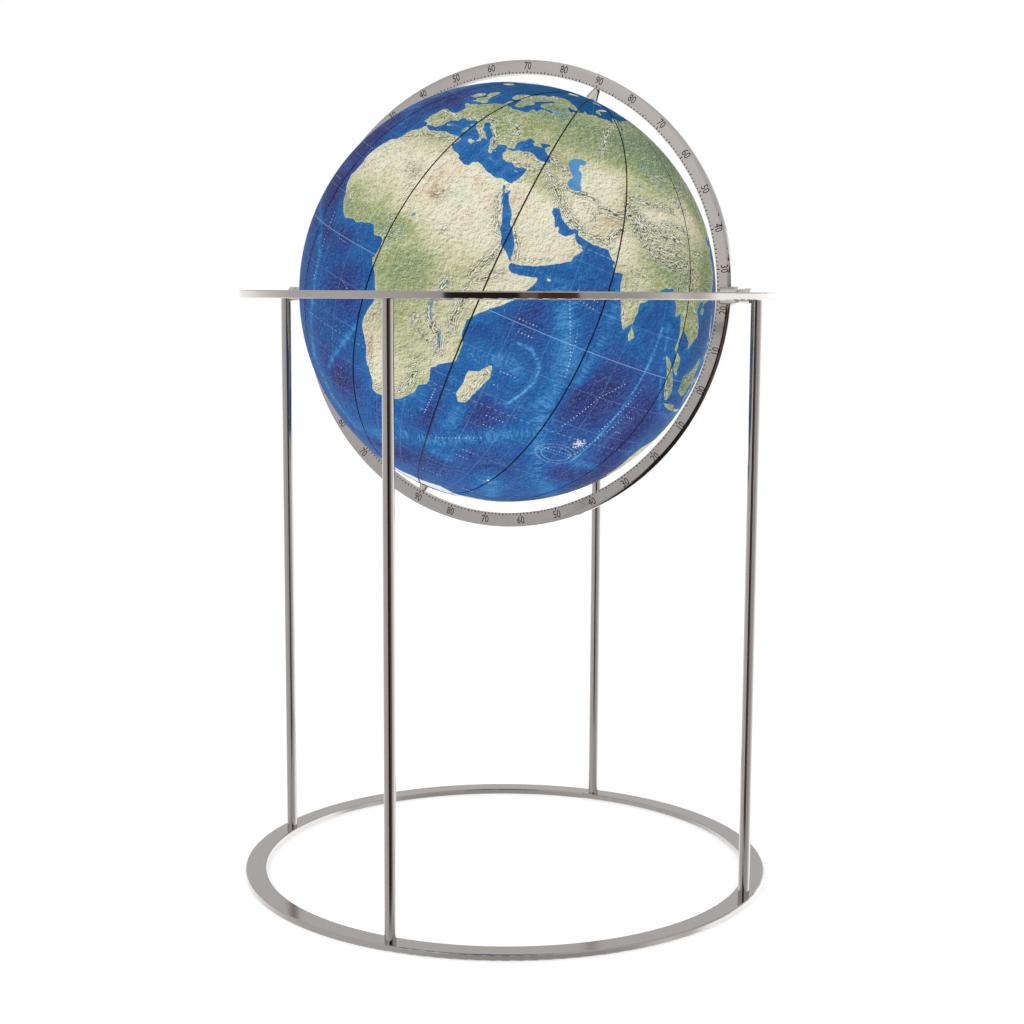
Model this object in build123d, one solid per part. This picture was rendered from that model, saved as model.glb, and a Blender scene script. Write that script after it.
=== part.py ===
from build123d import *
import os
from math import asin, degrees, radians, sin, cos

# Floor-standing armillary-style globe: a map ball turns on two polar pins inside a full meridian
# ring, and the meridian ring swings on two pivots inside a horizon ring carried by four legs.
# Millimetres. +Z is up, the origin is on the floor under the ball's centre.
# +X is the swing axis, through the front right leg's pivot.

# ---------------------------------------------------------------- driving dimensions
ball_radius = 200.0            # outside of the map paper
centre_height = 568.4          # floor to the ball's centre
axial_tilt = 23.5              # polar axis from the meridian ring's own upright
meridian_lean = 4.9            # how far the meridian ring leans back at rest
front_longitude = 22.2         # longitude that faces the front of the meridian ring
first_seam_longitude = 10.0    # longitude of one seam between two map gores

# gaps between ball, meridian ring and horizon ring
ball_to_meridian = 10.8
meridian_to_horizon = 14.1

# base ring, legs and horizon ring
horizon_width = 19.6
horizon_thickness = 7.0
base_width = 20.3
base_thickness = 6.0
ring_edge = 1.1                # rounded edges of the two flat rings
leg_radius = 5.3
leg_count = 4
glide_radius = 7.0
glide_thickness = 1.4
glide_proud = 0.4              # how far the felt stands out of its pocket
glide_count = 8

# meridian ring
meridian_width = 13.3
meridian_thickness = 7.0
meridian_crown_width = 3.6     # each face falls away towards the outer rim
meridian_crown_drop = 0.8

# swing pivots on the X axis
pivot_pin_radius = 2.5
pivot_bore_depth = 5.4         # blind bore in the horizon ring's inner face
pivot_bush_wall = 1.5
barrel_cheek = 5.2             # wall of the slotted barrel on each face of the meridian ring
barrel_set_back = 2.9          # barrel's inner end from the meridian ring's inner edge
barrel_reach = 6.4             # barrel's outer end past the meridian ring's outer rim
barrel_end_round = 1.4
barrel_screw_radius = 1.5
barrel_screw_sunk = 1.0
washer_radius = 6.2
washer_thickness = 0.8
boss_lip = 3.7                 # ribbed boss above and below the horizon ring that it straddles
boss_end_round = 1.2
boss_groove_depth = 0.9
boss_groove_width = 1.2
boss_groove_count = 2

# polar pins, cones and bearings
pole_pin_radius = 2.0
pole_head_radius = 2.4
pole_head_height = 2.2
pole_head_sunk = 0.3
cone_base_radius = 7.0
cone_tip_radius = 3.0
cone_screw_radius = 1.0
cone_screw_share = 0.66        # how far up the cone its grub screw sits
cone_screw_sunk = 0.4
cone_screw_azimuth = -160.0    # direction round the polar axis in which the cone screw faces
pole_bush_wall = 2.0
pole_bush_length = 16.0
hub_wall = 5.0
hub_length = 18.0
hub_flange_radius = 26.0
hub_flange_thickness = 3.0

# ball
paper_thickness = 0.4
shell_thickness = 3.4
gore_count = 12
seam_width = 0.9
pole_paper_hole = 5.0
band_height = 24.0             # lap band behind the joint of the two shells
band_thickness = 2.2
cap_radius = 45.0              # shallow metal cap round the south pole
cap_thickness = 0.8

# fasteners
stud_radius = 2.5
stud_reach_up = 5.0
stud_reach_down = 14.0
base_screw_radius = 2.5
base_screw_length = 22.0
base_screw_head_radius = 4.6
base_screw_head_height = 2.5
base_key_flats = 3.0
base_key_depth = 1.6
pole_key_flats = 2.0
pole_key_depth = 1.2
grub_key_flats = 1.3
grub_key_depth = 0.8

# fits and clearances
fit = 0.03                     # radial room of a fixed pin in its hole
running_fit = 0.05             # radial room of a turning pin in its bush
glue_gap = 0.10                # between two curved faces that are glued together
side_gap = 0.30                # between faces that turn past each other
screw_gap = 0.5                # room past the end of a screw in a blind hole
cut = 1.0                      # how far a cutter runs past the face it opens

# ---------------------------------------------------------------- places that follow from them
meridian_inner_radius = ball_radius + ball_to_meridian
meridian_outer_radius = meridian_inner_radius + meridian_width
horizon_inner_radius = meridian_outer_radius + meridian_to_horizon
horizon_outer_radius = horizon_inner_radius + horizon_width
base_inner_radius = horizon_inner_radius
base_outer_radius = base_inner_radius + base_width
leg_circle_radius = horizon_inner_radius + horizon_width / 2
base_bottom = glide_proud
base_top = base_bottom + base_thickness
horizon_bottom = centre_height - horizon_thickness / 2

barrel_radius = meridian_thickness / 2 + barrel_cheek
barrel_inner_end = meridian_inner_radius + barrel_set_back
barrel_outer_end = meridian_outer_radius + barrel_reach
barrel_bore_start = meridian_outer_radius + screw_gap
barrel_screw_place = (meridian_inner_radius + meridian_outer_radius) / 2
pivot_bush_radius = pivot_pin_radius + pivot_bush_wall
washer_inner_end = barrel_outer_end + side_gap / 2
boss_radius = horizon_thickness / 2 + boss_lip
boss_inner_end = washer_inner_end + washer_thickness + side_gap / 2
boss_outer_end = leg_circle_radius - leg_radius - side_gap / 2

shell_outer_radius = ball_radius - paper_thickness - glue_gap
shell_inner_radius = shell_outer_radius - shell_thickness
cap_inner_radius = ball_radius + glue_gap
cap_outer_radius = cap_inner_radius + cap_thickness
pole_bush_radius = pole_pin_radius + pole_bush_wall
pole_bush_end = shell_outer_radius - side_gap
pole_pin_tip = pole_bush_end - pole_bush_length - cut
pole_shell_hole = pole_bush_radius + side_gap
hub_radius = pole_bush_radius + hub_wall
leg_angles = [360.0 / leg_count * k for k in range(leg_count)]
leg_names = ["leg_front_right", "leg_back_right", "leg_back_left", "leg_front_left"]

centre = Location((0, 0, centre_height))
to_ring = centre * Rotation(-meridian_lean, 0, 0)      # meridian ring's own frame, ring in XZ
to_pole = to_ring * Rotation(0, axial_tilt, 0)         # ball's own frame, north pole along Z
to_south = to_pole * Rotation(180, 0, 0)               # the same, south pole along Z
along_x = Rotation(0, 90, 0)                           # turns a Z cylinder onto +X
along_y = Rotation(-90, 0, 0)                          # turns a Z cylinder onto +Y


# ---------------------------------------------------------------- helpers
def cylinder(radius, start, end):
    """A round bar on the Z axis between two heights."""
    low = (Align.CENTER, Align.CENTER, Align.MIN)
    return Pos(0, 0, start) * Cylinder(radius, end - start, align=low)


def tube(outer, inner, start, end):
    """A round tube on the Z axis between two heights."""
    return cylinder(outer, start, end) - cylinder(inner, start - cut, end + cut)


def cone(start_radius, end_radius, start, end):
    """A tapered bar on the Z axis between two heights."""
    low = (Align.CENTER, Align.CENTER, Align.MIN)
    return Pos(0, 0, start) * Cone(start_radius, end_radius, end - start, align=low)


def hex_socket(flats, depth, mouth):
    """A hexagon key socket on the Z axis that opens upwards at the height mouth."""
    section = RegularPolygon(flats / 2, 6, major_radius=False)
    return Pos(0, 0, mouth - depth) * extrude(section, depth + cut)


def flat_ring(outer, inner, thickness):
    """A flat ring round the Z axis, centred on the origin, with rounded edges."""
    section = Pos((outer + inner) / 2, 0) * Rectangle(outer - inner, thickness)
    section = fillet(section.vertices(), ring_edge)
    return revolve(Plane.XZ * section, Axis.Z)


def crowned_ring(outer, inner, thickness):
    """The same, with square edges and faces that curve away towards the outer rim."""
    half = thickness / 2
    rim = half - meridian_crown_drop
    flat_end = outer - meridian_crown_width
    front = Line((inner, half), (flat_end, half))
    front_crown = TangentArc((flat_end, half), (outer, rim), tangent=(1, 0))
    rim_wall = Line((outer, rim), (outer, -rim))
    back_crown = TangentArc((flat_end, -half), (outer, -rim), tangent=(1, 0))
    back = Line((flat_end, -half), (inner, -half))
    bore = Line((inner, -half), (inner, half))
    section = make_face([front, front_crown, rim_wall, back_crown, back, bore])
    return revolve(Plane.XZ * section, Axis.Z)


def round_the_ring(shape, angles, radius):
    """Copies of a shape set out on a circle round the Z axis."""
    return [Rotation(0, 0, a) * Pos(radius, 0, 0) * shape for a in angles]


def sphere_wall(outer, inner, from_pole, to_pole_angle):
    """Wall of a hollow ball between two angles from the pole, round the whole Z axis."""
    return revolve(sphere_section(outer, inner, from_pole, to_pole_angle), Axis.Z)


def sphere_section(outer, inner, start, end):
    """Section of a hollow ball's wall on the XZ plane between two angles from the pole."""
    def at(radius, angle):
        return (radius * sin(radians(angle)), radius * cos(radians(angle)))

    middle = (start + end) / 2
    outer_arc = ThreePointArc(at(outer, start), at(outer, middle), at(outer, end))
    end_line = Line(at(outer, end), at(inner, end))
    inner_arc = ThreePointArc(at(inner, end), at(inner, middle), at(inner, start))
    start_line = Line(at(inner, start), at(outer, start))
    return Plane.XZ * make_face([outer_arc, end_line, inner_arc, start_line])


def mirrored(shape):
    """The left-hand copy of a piece on the swing axis."""
    return shape.mirror(Plane.YZ)


# ---------------------------------------------------------------- stand
def make_base_ring():
    ring = flat_ring(base_outer_radius, base_inner_radius, base_thickness)
    ring = Pos(0, 0, base_bottom + base_thickness / 2) * ring
    bore = cylinder(base_screw_radius + fit, base_bottom - cut, base_top + cut)
    seat = cone(base_screw_head_radius + fit, base_screw_radius + fit,
                base_bottom, base_bottom + base_screw_head_height)
    pocket_depth = glide_thickness - glide_proud
    pocket = cylinder(glide_radius + fit, base_bottom - cut, base_bottom + pocket_depth)
    ring -= round_the_ring(bore + seat, leg_angles, leg_circle_radius)
    ring -= round_the_ring(pocket, glide_angles(), leg_circle_radius)
    return ring


def glide_angles():
    step = 360.0 / glide_count
    return [step * (k + 0.5) for k in range(glide_count)]


def make_felt_glides():
    glide = cylinder(glide_radius, 0, glide_thickness)
    return Compound(children=round_the_ring(glide, glide_angles(), leg_circle_radius))


def make_leg(angle):
    leg = cylinder(leg_radius, base_top, horizon_bottom)
    screw_end = base_bottom + base_screw_length + screw_gap
    stud_hole_end = horizon_bottom - stud_reach_down - screw_gap
    leg -= cylinder(base_screw_radius + fit, base_top - cut, screw_end)
    leg -= cylinder(stud_radius + fit, stud_hole_end, horizon_bottom + cut)
    return Rotation(0, 0, angle) * Pos(leg_circle_radius, 0, 0) * leg


def make_leg_base_screws():
    head = cone(base_screw_head_radius, base_screw_radius,
                base_bottom, base_bottom + base_screw_head_height)
    screw = head + cylinder(base_screw_radius, base_bottom, base_bottom + base_screw_length)
    key = Rotation(180, 0, 0) * hex_socket(base_key_flats, base_key_depth, -base_bottom)
    return Compound(children=round_the_ring(screw - key, leg_angles, leg_circle_radius))


def make_leg_top_studs():
    stud = cylinder(stud_radius, horizon_bottom - stud_reach_down, horizon_bottom + stud_reach_up)
    return Compound(children=round_the_ring(stud, leg_angles, leg_circle_radius))


def make_horizon_ring():
    ring = centre * flat_ring(horizon_outer_radius, horizon_inner_radius, horizon_thickness)
    stud_hole = cylinder(stud_radius + fit, horizon_bottom - cut,
                         horizon_bottom + stud_reach_up + fit)
    ring -= round_the_ring(stud_hole, leg_angles, leg_circle_radius)
    bore = along_x * cylinder(pivot_pin_radius + fit, horizon_inner_radius - cut,
                              horizon_inner_radius + pivot_bore_depth)
    ring -= centre * bore
    ring -= centre * mirrored(bore)
    return ring


def make_pivot_boss():
    boss = cylinder(boss_radius, boss_inner_end, boss_outer_end)
    boss = fillet(boss.edges().filter_by(GeomType.CIRCLE), boss_end_round)
    bare = horizon_inner_radius - boss_inner_end
    pitch = bare / (boss_groove_count + 1)
    for k in range(boss_groove_count):
        middle = boss_inner_end + pitch * (k + 1)
        boss -= tube(boss_radius + cut, boss_radius - boss_groove_depth,
                     middle - boss_groove_width / 2, middle + boss_groove_width / 2)
    boss -= cylinder(pivot_pin_radius + fit, boss_inner_end - cut, boss_outer_end + cut)
    slot = flat_ring(horizon_outer_radius, horizon_inner_radius - fit,
                     horizon_thickness + 2 * fit)
    return along_x * boss - slot


def make_pivot_pin():
    end = horizon_inner_radius + pivot_bore_depth - screw_gap
    pin = cylinder(pivot_pin_radius, barrel_bore_start + screw_gap, end)
    return along_x * chamfer(pin.edges().filter_by(GeomType.CIRCLE), side_gap)


def make_pivot_washer():
    washer = tube(washer_radius, pivot_pin_radius + running_fit,
                  washer_inner_end, washer_inner_end + washer_thickness)
    return along_x * washer


# ---------------------------------------------------------------- meridian ring and its pivots
def meridian_blank(room):
    """The meridian ring's shape, grown by some room for the slots that fit over it."""
    ring = crowned_ring(meridian_outer_radius + room, meridian_inner_radius - room,
                        meridian_thickness + 2 * room)
    return Rotation(90, 0, 0) * ring


def make_meridian_ring():
    ring = meridian_blank(0)
    pin_hole = cylinder(pole_pin_radius + fit, meridian_inner_radius - cut,
                        meridian_outer_radius + cut)
    head_hole = cylinder(pole_head_radius + fit, meridian_outer_radius - pole_head_height,
                         meridian_outer_radius + cut)
    holes = pin_hole + head_hole
    ring -= Rotation(0, axial_tilt, 0) * holes
    ring -= Rotation(0, axial_tilt + 180, 0) * holes
    return ring


def make_pivot_barrel():
    barrel = cylinder(barrel_radius, barrel_inner_end, barrel_outer_end)
    barrel = fillet(barrel.edges().filter_by(GeomType.CIRCLE), barrel_end_round)
    barrel -= cylinder(pivot_bush_radius + fit, barrel_bore_start, barrel_outer_end + cut)
    screw_hole = cylinder(barrel_screw_radius + fit, meridian_thickness / 2, barrel_radius + cut)
    barrel = along_x * barrel - meridian_blank(fit)
    return barrel - Pos(barrel_screw_place, 0, 0) * along_y * screw_hole


def make_barrel_set_screws():
    """Grub screws through the barrels' rear cheeks onto the ring's rear face."""
    end = barrel_radius - barrel_screw_sunk
    screw = cylinder(barrel_screw_radius, meridian_thickness / 2 + fit, end)
    screw -= hex_socket(grub_key_flats, grub_key_depth, end)
    screw = Pos(barrel_screw_place, 0, 0) * along_y * screw
    return Compound(children=[screw, mirrored(screw)])


def make_pivot_bush():
    bush = tube(pivot_bush_radius, pivot_pin_radius + running_fit,
                barrel_bore_start, barrel_outer_end)
    return along_x * bush


# ---------------------------------------------------------------- polar pins and cones
def make_pole_pin():
    head_bottom = meridian_outer_radius - pole_head_height + fit
    head_top = meridian_outer_radius - pole_head_sunk
    pin = cylinder(pole_pin_radius, pole_pin_tip, head_top)
    head = cylinder(pole_head_radius, head_bottom, head_top)
    return pin + head - hex_socket(pole_key_flats, pole_key_depth, head_top)


def cone_foot(surface_radius):
    """Height of a cone's wide end, clear of the turning ball."""
    return surface_radius + side_gap


def cone_screw_height(surface_radius):
    """Height of the cone's grub screw."""
    foot = cone_foot(surface_radius)
    return foot + (meridian_inner_radius - foot) * cone_screw_share


def make_pole_cone(surface_radius, screw_azimuth):
    foot = cone_foot(surface_radius)
    tip = meridian_inner_radius - fit
    body = cone(cone_base_radius, cone_tip_radius, foot, tip)
    body -= cylinder(pole_pin_radius + fit, foot - cut, tip + cut)
    return body - cone_screw(surface_radius, screw_azimuth, fit, cone_base_radius)


def cone_screw(surface_radius, screw_azimuth, room, end):
    """Bar from the polar pin's surface out through the side of a cone."""
    screw = cylinder(cone_screw_radius + room, pole_pin_radius + fit, end)
    place = Pos(0, 0, cone_screw_height(surface_radius)) * Rotation(0, 0, screw_azimuth)
    return place * along_x * screw


def make_cone_screw(surface_radius, screw_azimuth):
    side = cone_base_radius + (cone_tip_radius - cone_base_radius) * cone_screw_share
    return cone_screw(surface_radius, screw_azimuth, 0, side - cone_screw_sunk)


# ---------------------------------------------------------------- ball
def hole_angle(hole_radius, sphere_radius):
    return degrees(asin(hole_radius / sphere_radius))


def make_shell_half():
    start = hole_angle(pole_shell_hole, shell_outer_radius)
    joint = degrees(fit / shell_outer_radius)
    return sphere_wall(shell_outer_radius, shell_inner_radius, start, 90 - joint)


def make_lap_band():
    outer = shell_inner_radius - glue_gap
    spread = hole_angle(band_height / 2, outer)
    return sphere_wall(outer, outer - band_thickness, 90 - spread, 90 + spread)


def make_hub():
    outer = shell_inner_radius - glue_gap
    bore = pole_bush_radius + fit
    flange = sphere_wall(outer, outer - hub_flange_thickness, hole_angle(bore, outer),
                         hole_angle(hub_flange_radius, outer))
    neck = cylinder(hub_radius, outer - hub_length, outer - hub_flange_thickness / 2)
    return flange + neck - cylinder(bore, outer - hub_length - cut, outer + cut)


def make_pole_bush():
    return tube(pole_bush_radius, pole_pin_radius + running_fit,
                pole_bush_end - pole_bush_length, pole_bush_end)


def make_gore(index):
    """One map gore: a slice of the paper skin between two seams."""
    start = hole_angle(pole_paper_hole, ball_radius)
    section = sphere_section(ball_radius, ball_radius - paper_thickness, start, 180 - start)
    seam = degrees(seam_width / ball_radius)
    span = 360.0 / gore_count
    west = first_seam_longitude + span * index - front_longitude - 90 + seam / 2
    return Rotation(0, 0, west) * revolve(section, Axis.Z, span - seam)


def make_polar_cap():
    start = hole_angle(pole_paper_hole, cap_outer_radius)
    end = hole_angle(cap_radius, cap_outer_radius)
    return sphere_wall(cap_outer_radius, cap_inner_radius, start, end)


# ---------------------------------------------------------------- build and write
parts = {}
parts["base_ring"] = make_base_ring()
parts["felt_glides"] = make_felt_glides()
for name, angle in zip(leg_names, leg_angles):
    parts[name] = make_leg(angle)
parts["leg_base_screws"] = make_leg_base_screws()
parts["leg_top_studs"] = make_leg_top_studs()
parts["horizon_ring"] = make_horizon_ring()

for name, make in (("pivot_boss", make_pivot_boss), ("pivot_pin", make_pivot_pin),
                   ("pivot_washer", make_pivot_washer)):
    parts[name + "_right"] = centre * make()
    parts[name + "_left"] = centre * mirrored(make())

parts["meridian_ring"] = to_ring * make_meridian_ring()
for name, make in (("pivot_barrel", make_pivot_barrel), ("pivot_bush", make_pivot_bush)):
    parts[name + "_right"] = to_ring * make()
    parts[name + "_left"] = to_ring * mirrored(make())
parts["barrel_set_screws"] = to_ring * make_barrel_set_screws()

for pole, place, surface, azimuth in (("north", to_pole, ball_radius, cone_screw_azimuth),
                                      ("south", to_south, cap_outer_radius, -cone_screw_azimuth)):
    parts["pole_pin_" + pole] = place * make_pole_pin()
    parts["pole_cone_" + pole] = place * make_pole_cone(surface, azimuth)
    parts["cone_screw_" + pole] = place * make_cone_screw(surface, azimuth)
    parts["pole_bush_" + pole] = place * make_pole_bush()
    parts["ball_hub_" + pole] = place * make_hub()
    parts["ball_shell_" + pole] = place * make_shell_half()
parts["shell_lap_band"] = to_pole * make_lap_band()
parts["south_polar_cap"] = to_south * make_polar_cap()
for index in range(gore_count):
    parts["map_gore_%02d" % (index + 1)] = to_pole * make_gore(index)

os.makedirs("parts", exist_ok=True)
for name, shape in parts.items():
    export_step(shape, "parts/" + name + ".step")
print(len(parts), "nodes written")
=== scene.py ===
import math

import bmesh
import bpy
import numpy as np
from mathutils import Matrix, Vector


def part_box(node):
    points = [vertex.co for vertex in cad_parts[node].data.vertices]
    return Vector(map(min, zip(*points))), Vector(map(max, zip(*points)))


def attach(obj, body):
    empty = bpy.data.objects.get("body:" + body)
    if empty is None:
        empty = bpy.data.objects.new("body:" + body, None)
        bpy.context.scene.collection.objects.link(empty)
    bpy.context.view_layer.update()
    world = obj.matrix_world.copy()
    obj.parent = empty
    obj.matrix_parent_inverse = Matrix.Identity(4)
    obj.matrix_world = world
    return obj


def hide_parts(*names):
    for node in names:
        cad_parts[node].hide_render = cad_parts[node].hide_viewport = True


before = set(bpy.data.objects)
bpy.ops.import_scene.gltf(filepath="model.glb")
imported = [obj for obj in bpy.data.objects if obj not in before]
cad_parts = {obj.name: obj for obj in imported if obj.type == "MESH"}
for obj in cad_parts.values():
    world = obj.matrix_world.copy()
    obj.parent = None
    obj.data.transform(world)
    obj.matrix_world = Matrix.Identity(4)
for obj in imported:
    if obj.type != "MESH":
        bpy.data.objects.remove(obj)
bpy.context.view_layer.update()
scene = bpy.context.scene

# ---------------------------------------------------------------- sizes and places, in metres
MM = 0.001
BALL_RADIUS = 200 * MM
POLE_HOLE = 5.0 * MM
PAPER = 0.4 * MM
SEAM_GAP = 0.9 * MM
GORES = 12
GORE_WIDTH = 30.0
FIRST_SEAM = 10.0
FRONT_LONGITUDE = 22.2
AXIS_TILT = math.radians(23.5)
RING_LEAN = math.radians(-4.9)

horizon_low, horizon_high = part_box("horizon_ring")
CENTRE = (horizon_low + horizon_high) / 2
TO_RING = Matrix.Translation(CENTRE) @ Matrix.Rotation(RING_LEAN, 4, "X")
TO_POLE = TO_RING @ Matrix.Rotation(AXIS_TILT, 4, "Y")

# ---------------------------------------------------------------- the world map
# Outlines are corners as longitude,latitude. Lines are parted by semicolons, and the numbers before
# each one say what it is: an island's, gulf's or lake's half width in degrees; a range's or a sea
# ridge's half width and strength. Patches are longitude,latitude,half width,half height,strength.
AFRICA = """
-5.9,35.8 -6.8,34 -8.5,33.2 -9.8,31.4 -9.8,29.9 -11.1,28.6 -12.9,27.9 -14.5,26.2 -15.9,23.8 -17.1,21
-16.2,19.1 -16.5,16 -17.5,14.7 -16.8,13.3 -16.7,12.4 -15,10.9 -13.5,9.4 -13.2,8.5 -11.5,6.9 -9.2,5.2
-7.6,4.4 -4,5.2 -2,4.8 1,5.9 2.7,6.4 4.4,6.4 5.5,5.2 6.1,4.3 7.5,4.5 8.6,4.7 9.5,3.9 9.7,2.5 9.5,1
9.3,-.5 8.8,-.8 9.5,-2.4 11.1,-3.9 12.2,-5.9 13.3,-8.3 13.8,-10.7 12.6,-13.4 11.8,-15.8 11.8,-18
13.4,-20.9 14.5,-22.9 15,-26.2 16.5,-28.6 18.2,-31.7 18.3,-34 20,-34.8 22.5,-34 25.7,-34 28.3,-32.7
30.9,-30.1 32.8,-28 32.9,-26 35.3,-24.5 35.5,-22.2 34.8,-20 36.8,-18 40.5,-15.3 40.6,-12.5
40.5,-10.5 39.3,-8 39.4,-6 39,-4.6 40.8,-2.2 42.6,-.3 45.3,2 47.9,4.7 49.8,8 51.2,10.5 51.2,11.9
49,11.3 46.5,10.7 44.5,10.4 43.2,11.5 43.3,12.6 41.2,14.6 39.3,15.7 38.2,18 37.3,19 37,21 35.7,23.5
35.4,24.3 34,26.5 32.6,29.5 32.8,30.4 32.6,31.2 31,31.5 29,30.9 25,31.6 23.1,32.6 21.6,32.9 20.1,32
20,30.9 18.5,30.4 15.7,31.4 15.2,32.3 12.5,32.8 11.1,33.3 10.1,34.3 10.9,35.6 11,37 9.8,37.3 7,36.9
3,36.8 0,35.8 -2.2,35.1 -5.3,35.9
"""
EURASIA = """
32.6,31.1 34.2,31.3 35,32.8 35.9,35 36,36.8 34.6,36.7 32.5,36.1 30.6,36.8 29,36.4 27.5,36.8
26.3,38.2 26.8,39.3 26.2,39.5 26.2,40.1 26,40.8 24,40.8 23.7,40.2 22.7,40.3 23.3,39 24,37.7 23,37.9
23.2,36.5 22.4,36.6 21.7,36.9 21.2,37.9 20.9,38.8 19.9,39.9 19.4,41 19.4,41.9 17.5,43 15.3,44.2
14.5,45.2 13.6,45.1 13.6,45.7 12.4,45.3 12.4,44.3 13.6,43.5 14.2,42.4 16,41.9 16.2,41.7 18.4,40.2
18.4,39.8 17,40.5 16.6,39.7 17.1,39 16.1,38 15.7,38 16.1,39 15.3,40.1 14,40.9 12.3,41.7 10.5,42.9
10,44 8.8,44.4 7.5,43.8 6.1,43.1 4.2,43.5 3.1,43 3.2,41.9 .9,41 -.3,39.4 .1,38.7 -.8,37.6 -2.1,36.8
-4.4,36.7 -5.6,36.1 -6.4,36.8 -7.4,37.2 -8.9,37 -8.8,38.4 -9.4,38.8 -8.8,40.5 -8.9,42.1 -9.2,43.1
-8,43.7 -4.5,43.4 -1.8,43.4 -1.2,44.6 -1.2,46 -2.2,47.2 -4.6,48 -4.6,48.6 -1.9,48.7 -1.6,49.7
.2,49.6 1.5,50.3 1.7,51 3.6,51.5 4.6,52.9 6.9,53.5 8.6,53.9 8.2,55.5 8.2,56.8 10.5,57.7 10.3,56.5
10.8,56.2 10,54.9 11,54 12.5,54.4 14.2,53.9 16.5,54.4 18.6,54.7 19.8,54.4 21,55.2 21.1,56.8
21.7,57.6 23.2,57 24.4,57.3 23.5,58.7 25.5,59.5 28,59.5 30,59.9 28,60.5 25,60.2 22.9,59.9 21.4,60.8
21.5,62.8 24,64.5 25.3,65.1 24,65.8 22,65.6 21.2,64.5 18.5,63 17.3,61.6 17.2,60.7 18.9,59.9 18,58.9
16.8,58.4 16.4,56.5 14.3,55.5 12.9,55.5 12.6,56.3 11.2,59 10.5,59.4 8.5,58.2 6.9,58.1 5.5,59 5,61
6.5,62.6 9.5,63.8 11.5,65 13,66.5 15,68.2 18,69.5 22,70.3 25.7,71 29,70.8 31,70.3 33.5,69.4 37,68.7
41,67.2 40.5,66.4 36,66.3 33,66.8 34.8,64.8 37.5,63.9 38.3,64.8 40.2,64.7 40.5,65.6 42.3,66.4
44,66.2 44,68.4 46,68 46.2,66.8 48,67.6 53,68.8 55,68.4 59,68.9 60.8,68.8 60.8,69.8 65,69.2 68,68.3
67,69.5 66.9,71 69,72.9 72.7,72.8 72.6,71 73.5,68.5 71.5,66.3 74,67.2 74.5,68.8 74,70.6 74.5,72.8
80,72.2 80.5,73.6 87,75 98,76.3 104.2,77.7 106.3,76.5 113.5,75.6 113.5,73.8 118,73.2 123.5,73
127,73.5 129.5,71.2 133,71.6 139.5,71.5 140,72.5 150,71.6 152.5,70.8 160,69.7 161,69.5 170,69.9
170.5,68.8 177,69.8 180,68.9 185.2,67 190.2,66.1 187,64.4 182,65.5 181,66.2 177.4,64.7 179.4,62.8
174,61.8 170.3,60 166,60 163.3,58.1 162,57.8 163.2,56.1 162,54.8 160,53.2 158.3,52.9 156.7,51
155.6,54 155.7,56.8 159,59 163.5,61.5 164.5,62.6 160,61.8 156.5,61.5 154,59.5 150.5,59.6 142.5,59.2
137,54 141.3,53.2 140.5,50 140.2,48.4 135.3,44 132,43.1 129.7,42.3 129.7,40.9 127.5,39.6 129.4,37
129.3,35.3 126.4,34.5 126.8,36.6 125,37.8 125.2,39.5 121.5,38.9 121.5,40.8 118,39.1 119,37.3
122.5,37 119.3,35 120.8,33 121.9,31.6 121.9,29.8 120,26.6 118,24.4 114.3,22.4 110.6,21.3 110,20.4
109.6,21.6 108,21.6 106.7,20.4 105.7,18.9 108.8,15.3 109.3,12.5 106.8,10.4 105,8.7 104.9,10.3
102.9,11.7 100.9,12.7 100.4,13.4 99.9,12 99.2,9.8 100.4,7.2 102.3,6.2 103.4,4.5 103.5,2.6 104.2,1.4
103.4,1.4 101.3,2.9 100.6,4.8 100.2,6.5 98.5,8 98.7,10 98.7,12 97.7,15 97,17.2 95.4,15.8 94.4,16.1
94.5,18 92.5,20.6 91.8,22.5 90.3,22 88.2,21.7 86.9,20.8 85.2,19.5 82.3,16.7 80.3,15.7 80.3,13.3
79.8,10.4 78.2,8.9 77.5,8.1 76.3,9.8 74.6,14 73.2,17 72.8,19.2 72.8,21.1 72,21.2 70.5,20.8 69,22.3
70.3,22.9 68.4,23.5 67.2,24.8 66.5,25.4 62,25.1 57.3,25.7 56.8,27.1 54.5,26.6 51.5,27.9 50.2,30
48.9,30.3 48,30 48.2,28.6 49.8,26.8 50.1,25.7 50.8,24.8 51.2,26.1 51.6,25.1 51.6,24.3 54,24.1
55.9,25.8 56.4,26.3 56.4,24.9 57.5,23.8 58.8,23.6 59.8,22.5 57.8,20.2 57.7,19 55.3,17.5 52.2,15.7
48.7,14 45,12.8 43.5,12.7 42.8,15 42.6,16.8 40.9,19.5 39.1,21.5 38.4,23.7 36.6,25.8 35,28 34.9,29.4
34.3,27.9 33.2,28.6 32.6,29.8 32.2,30.4
"""
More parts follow.
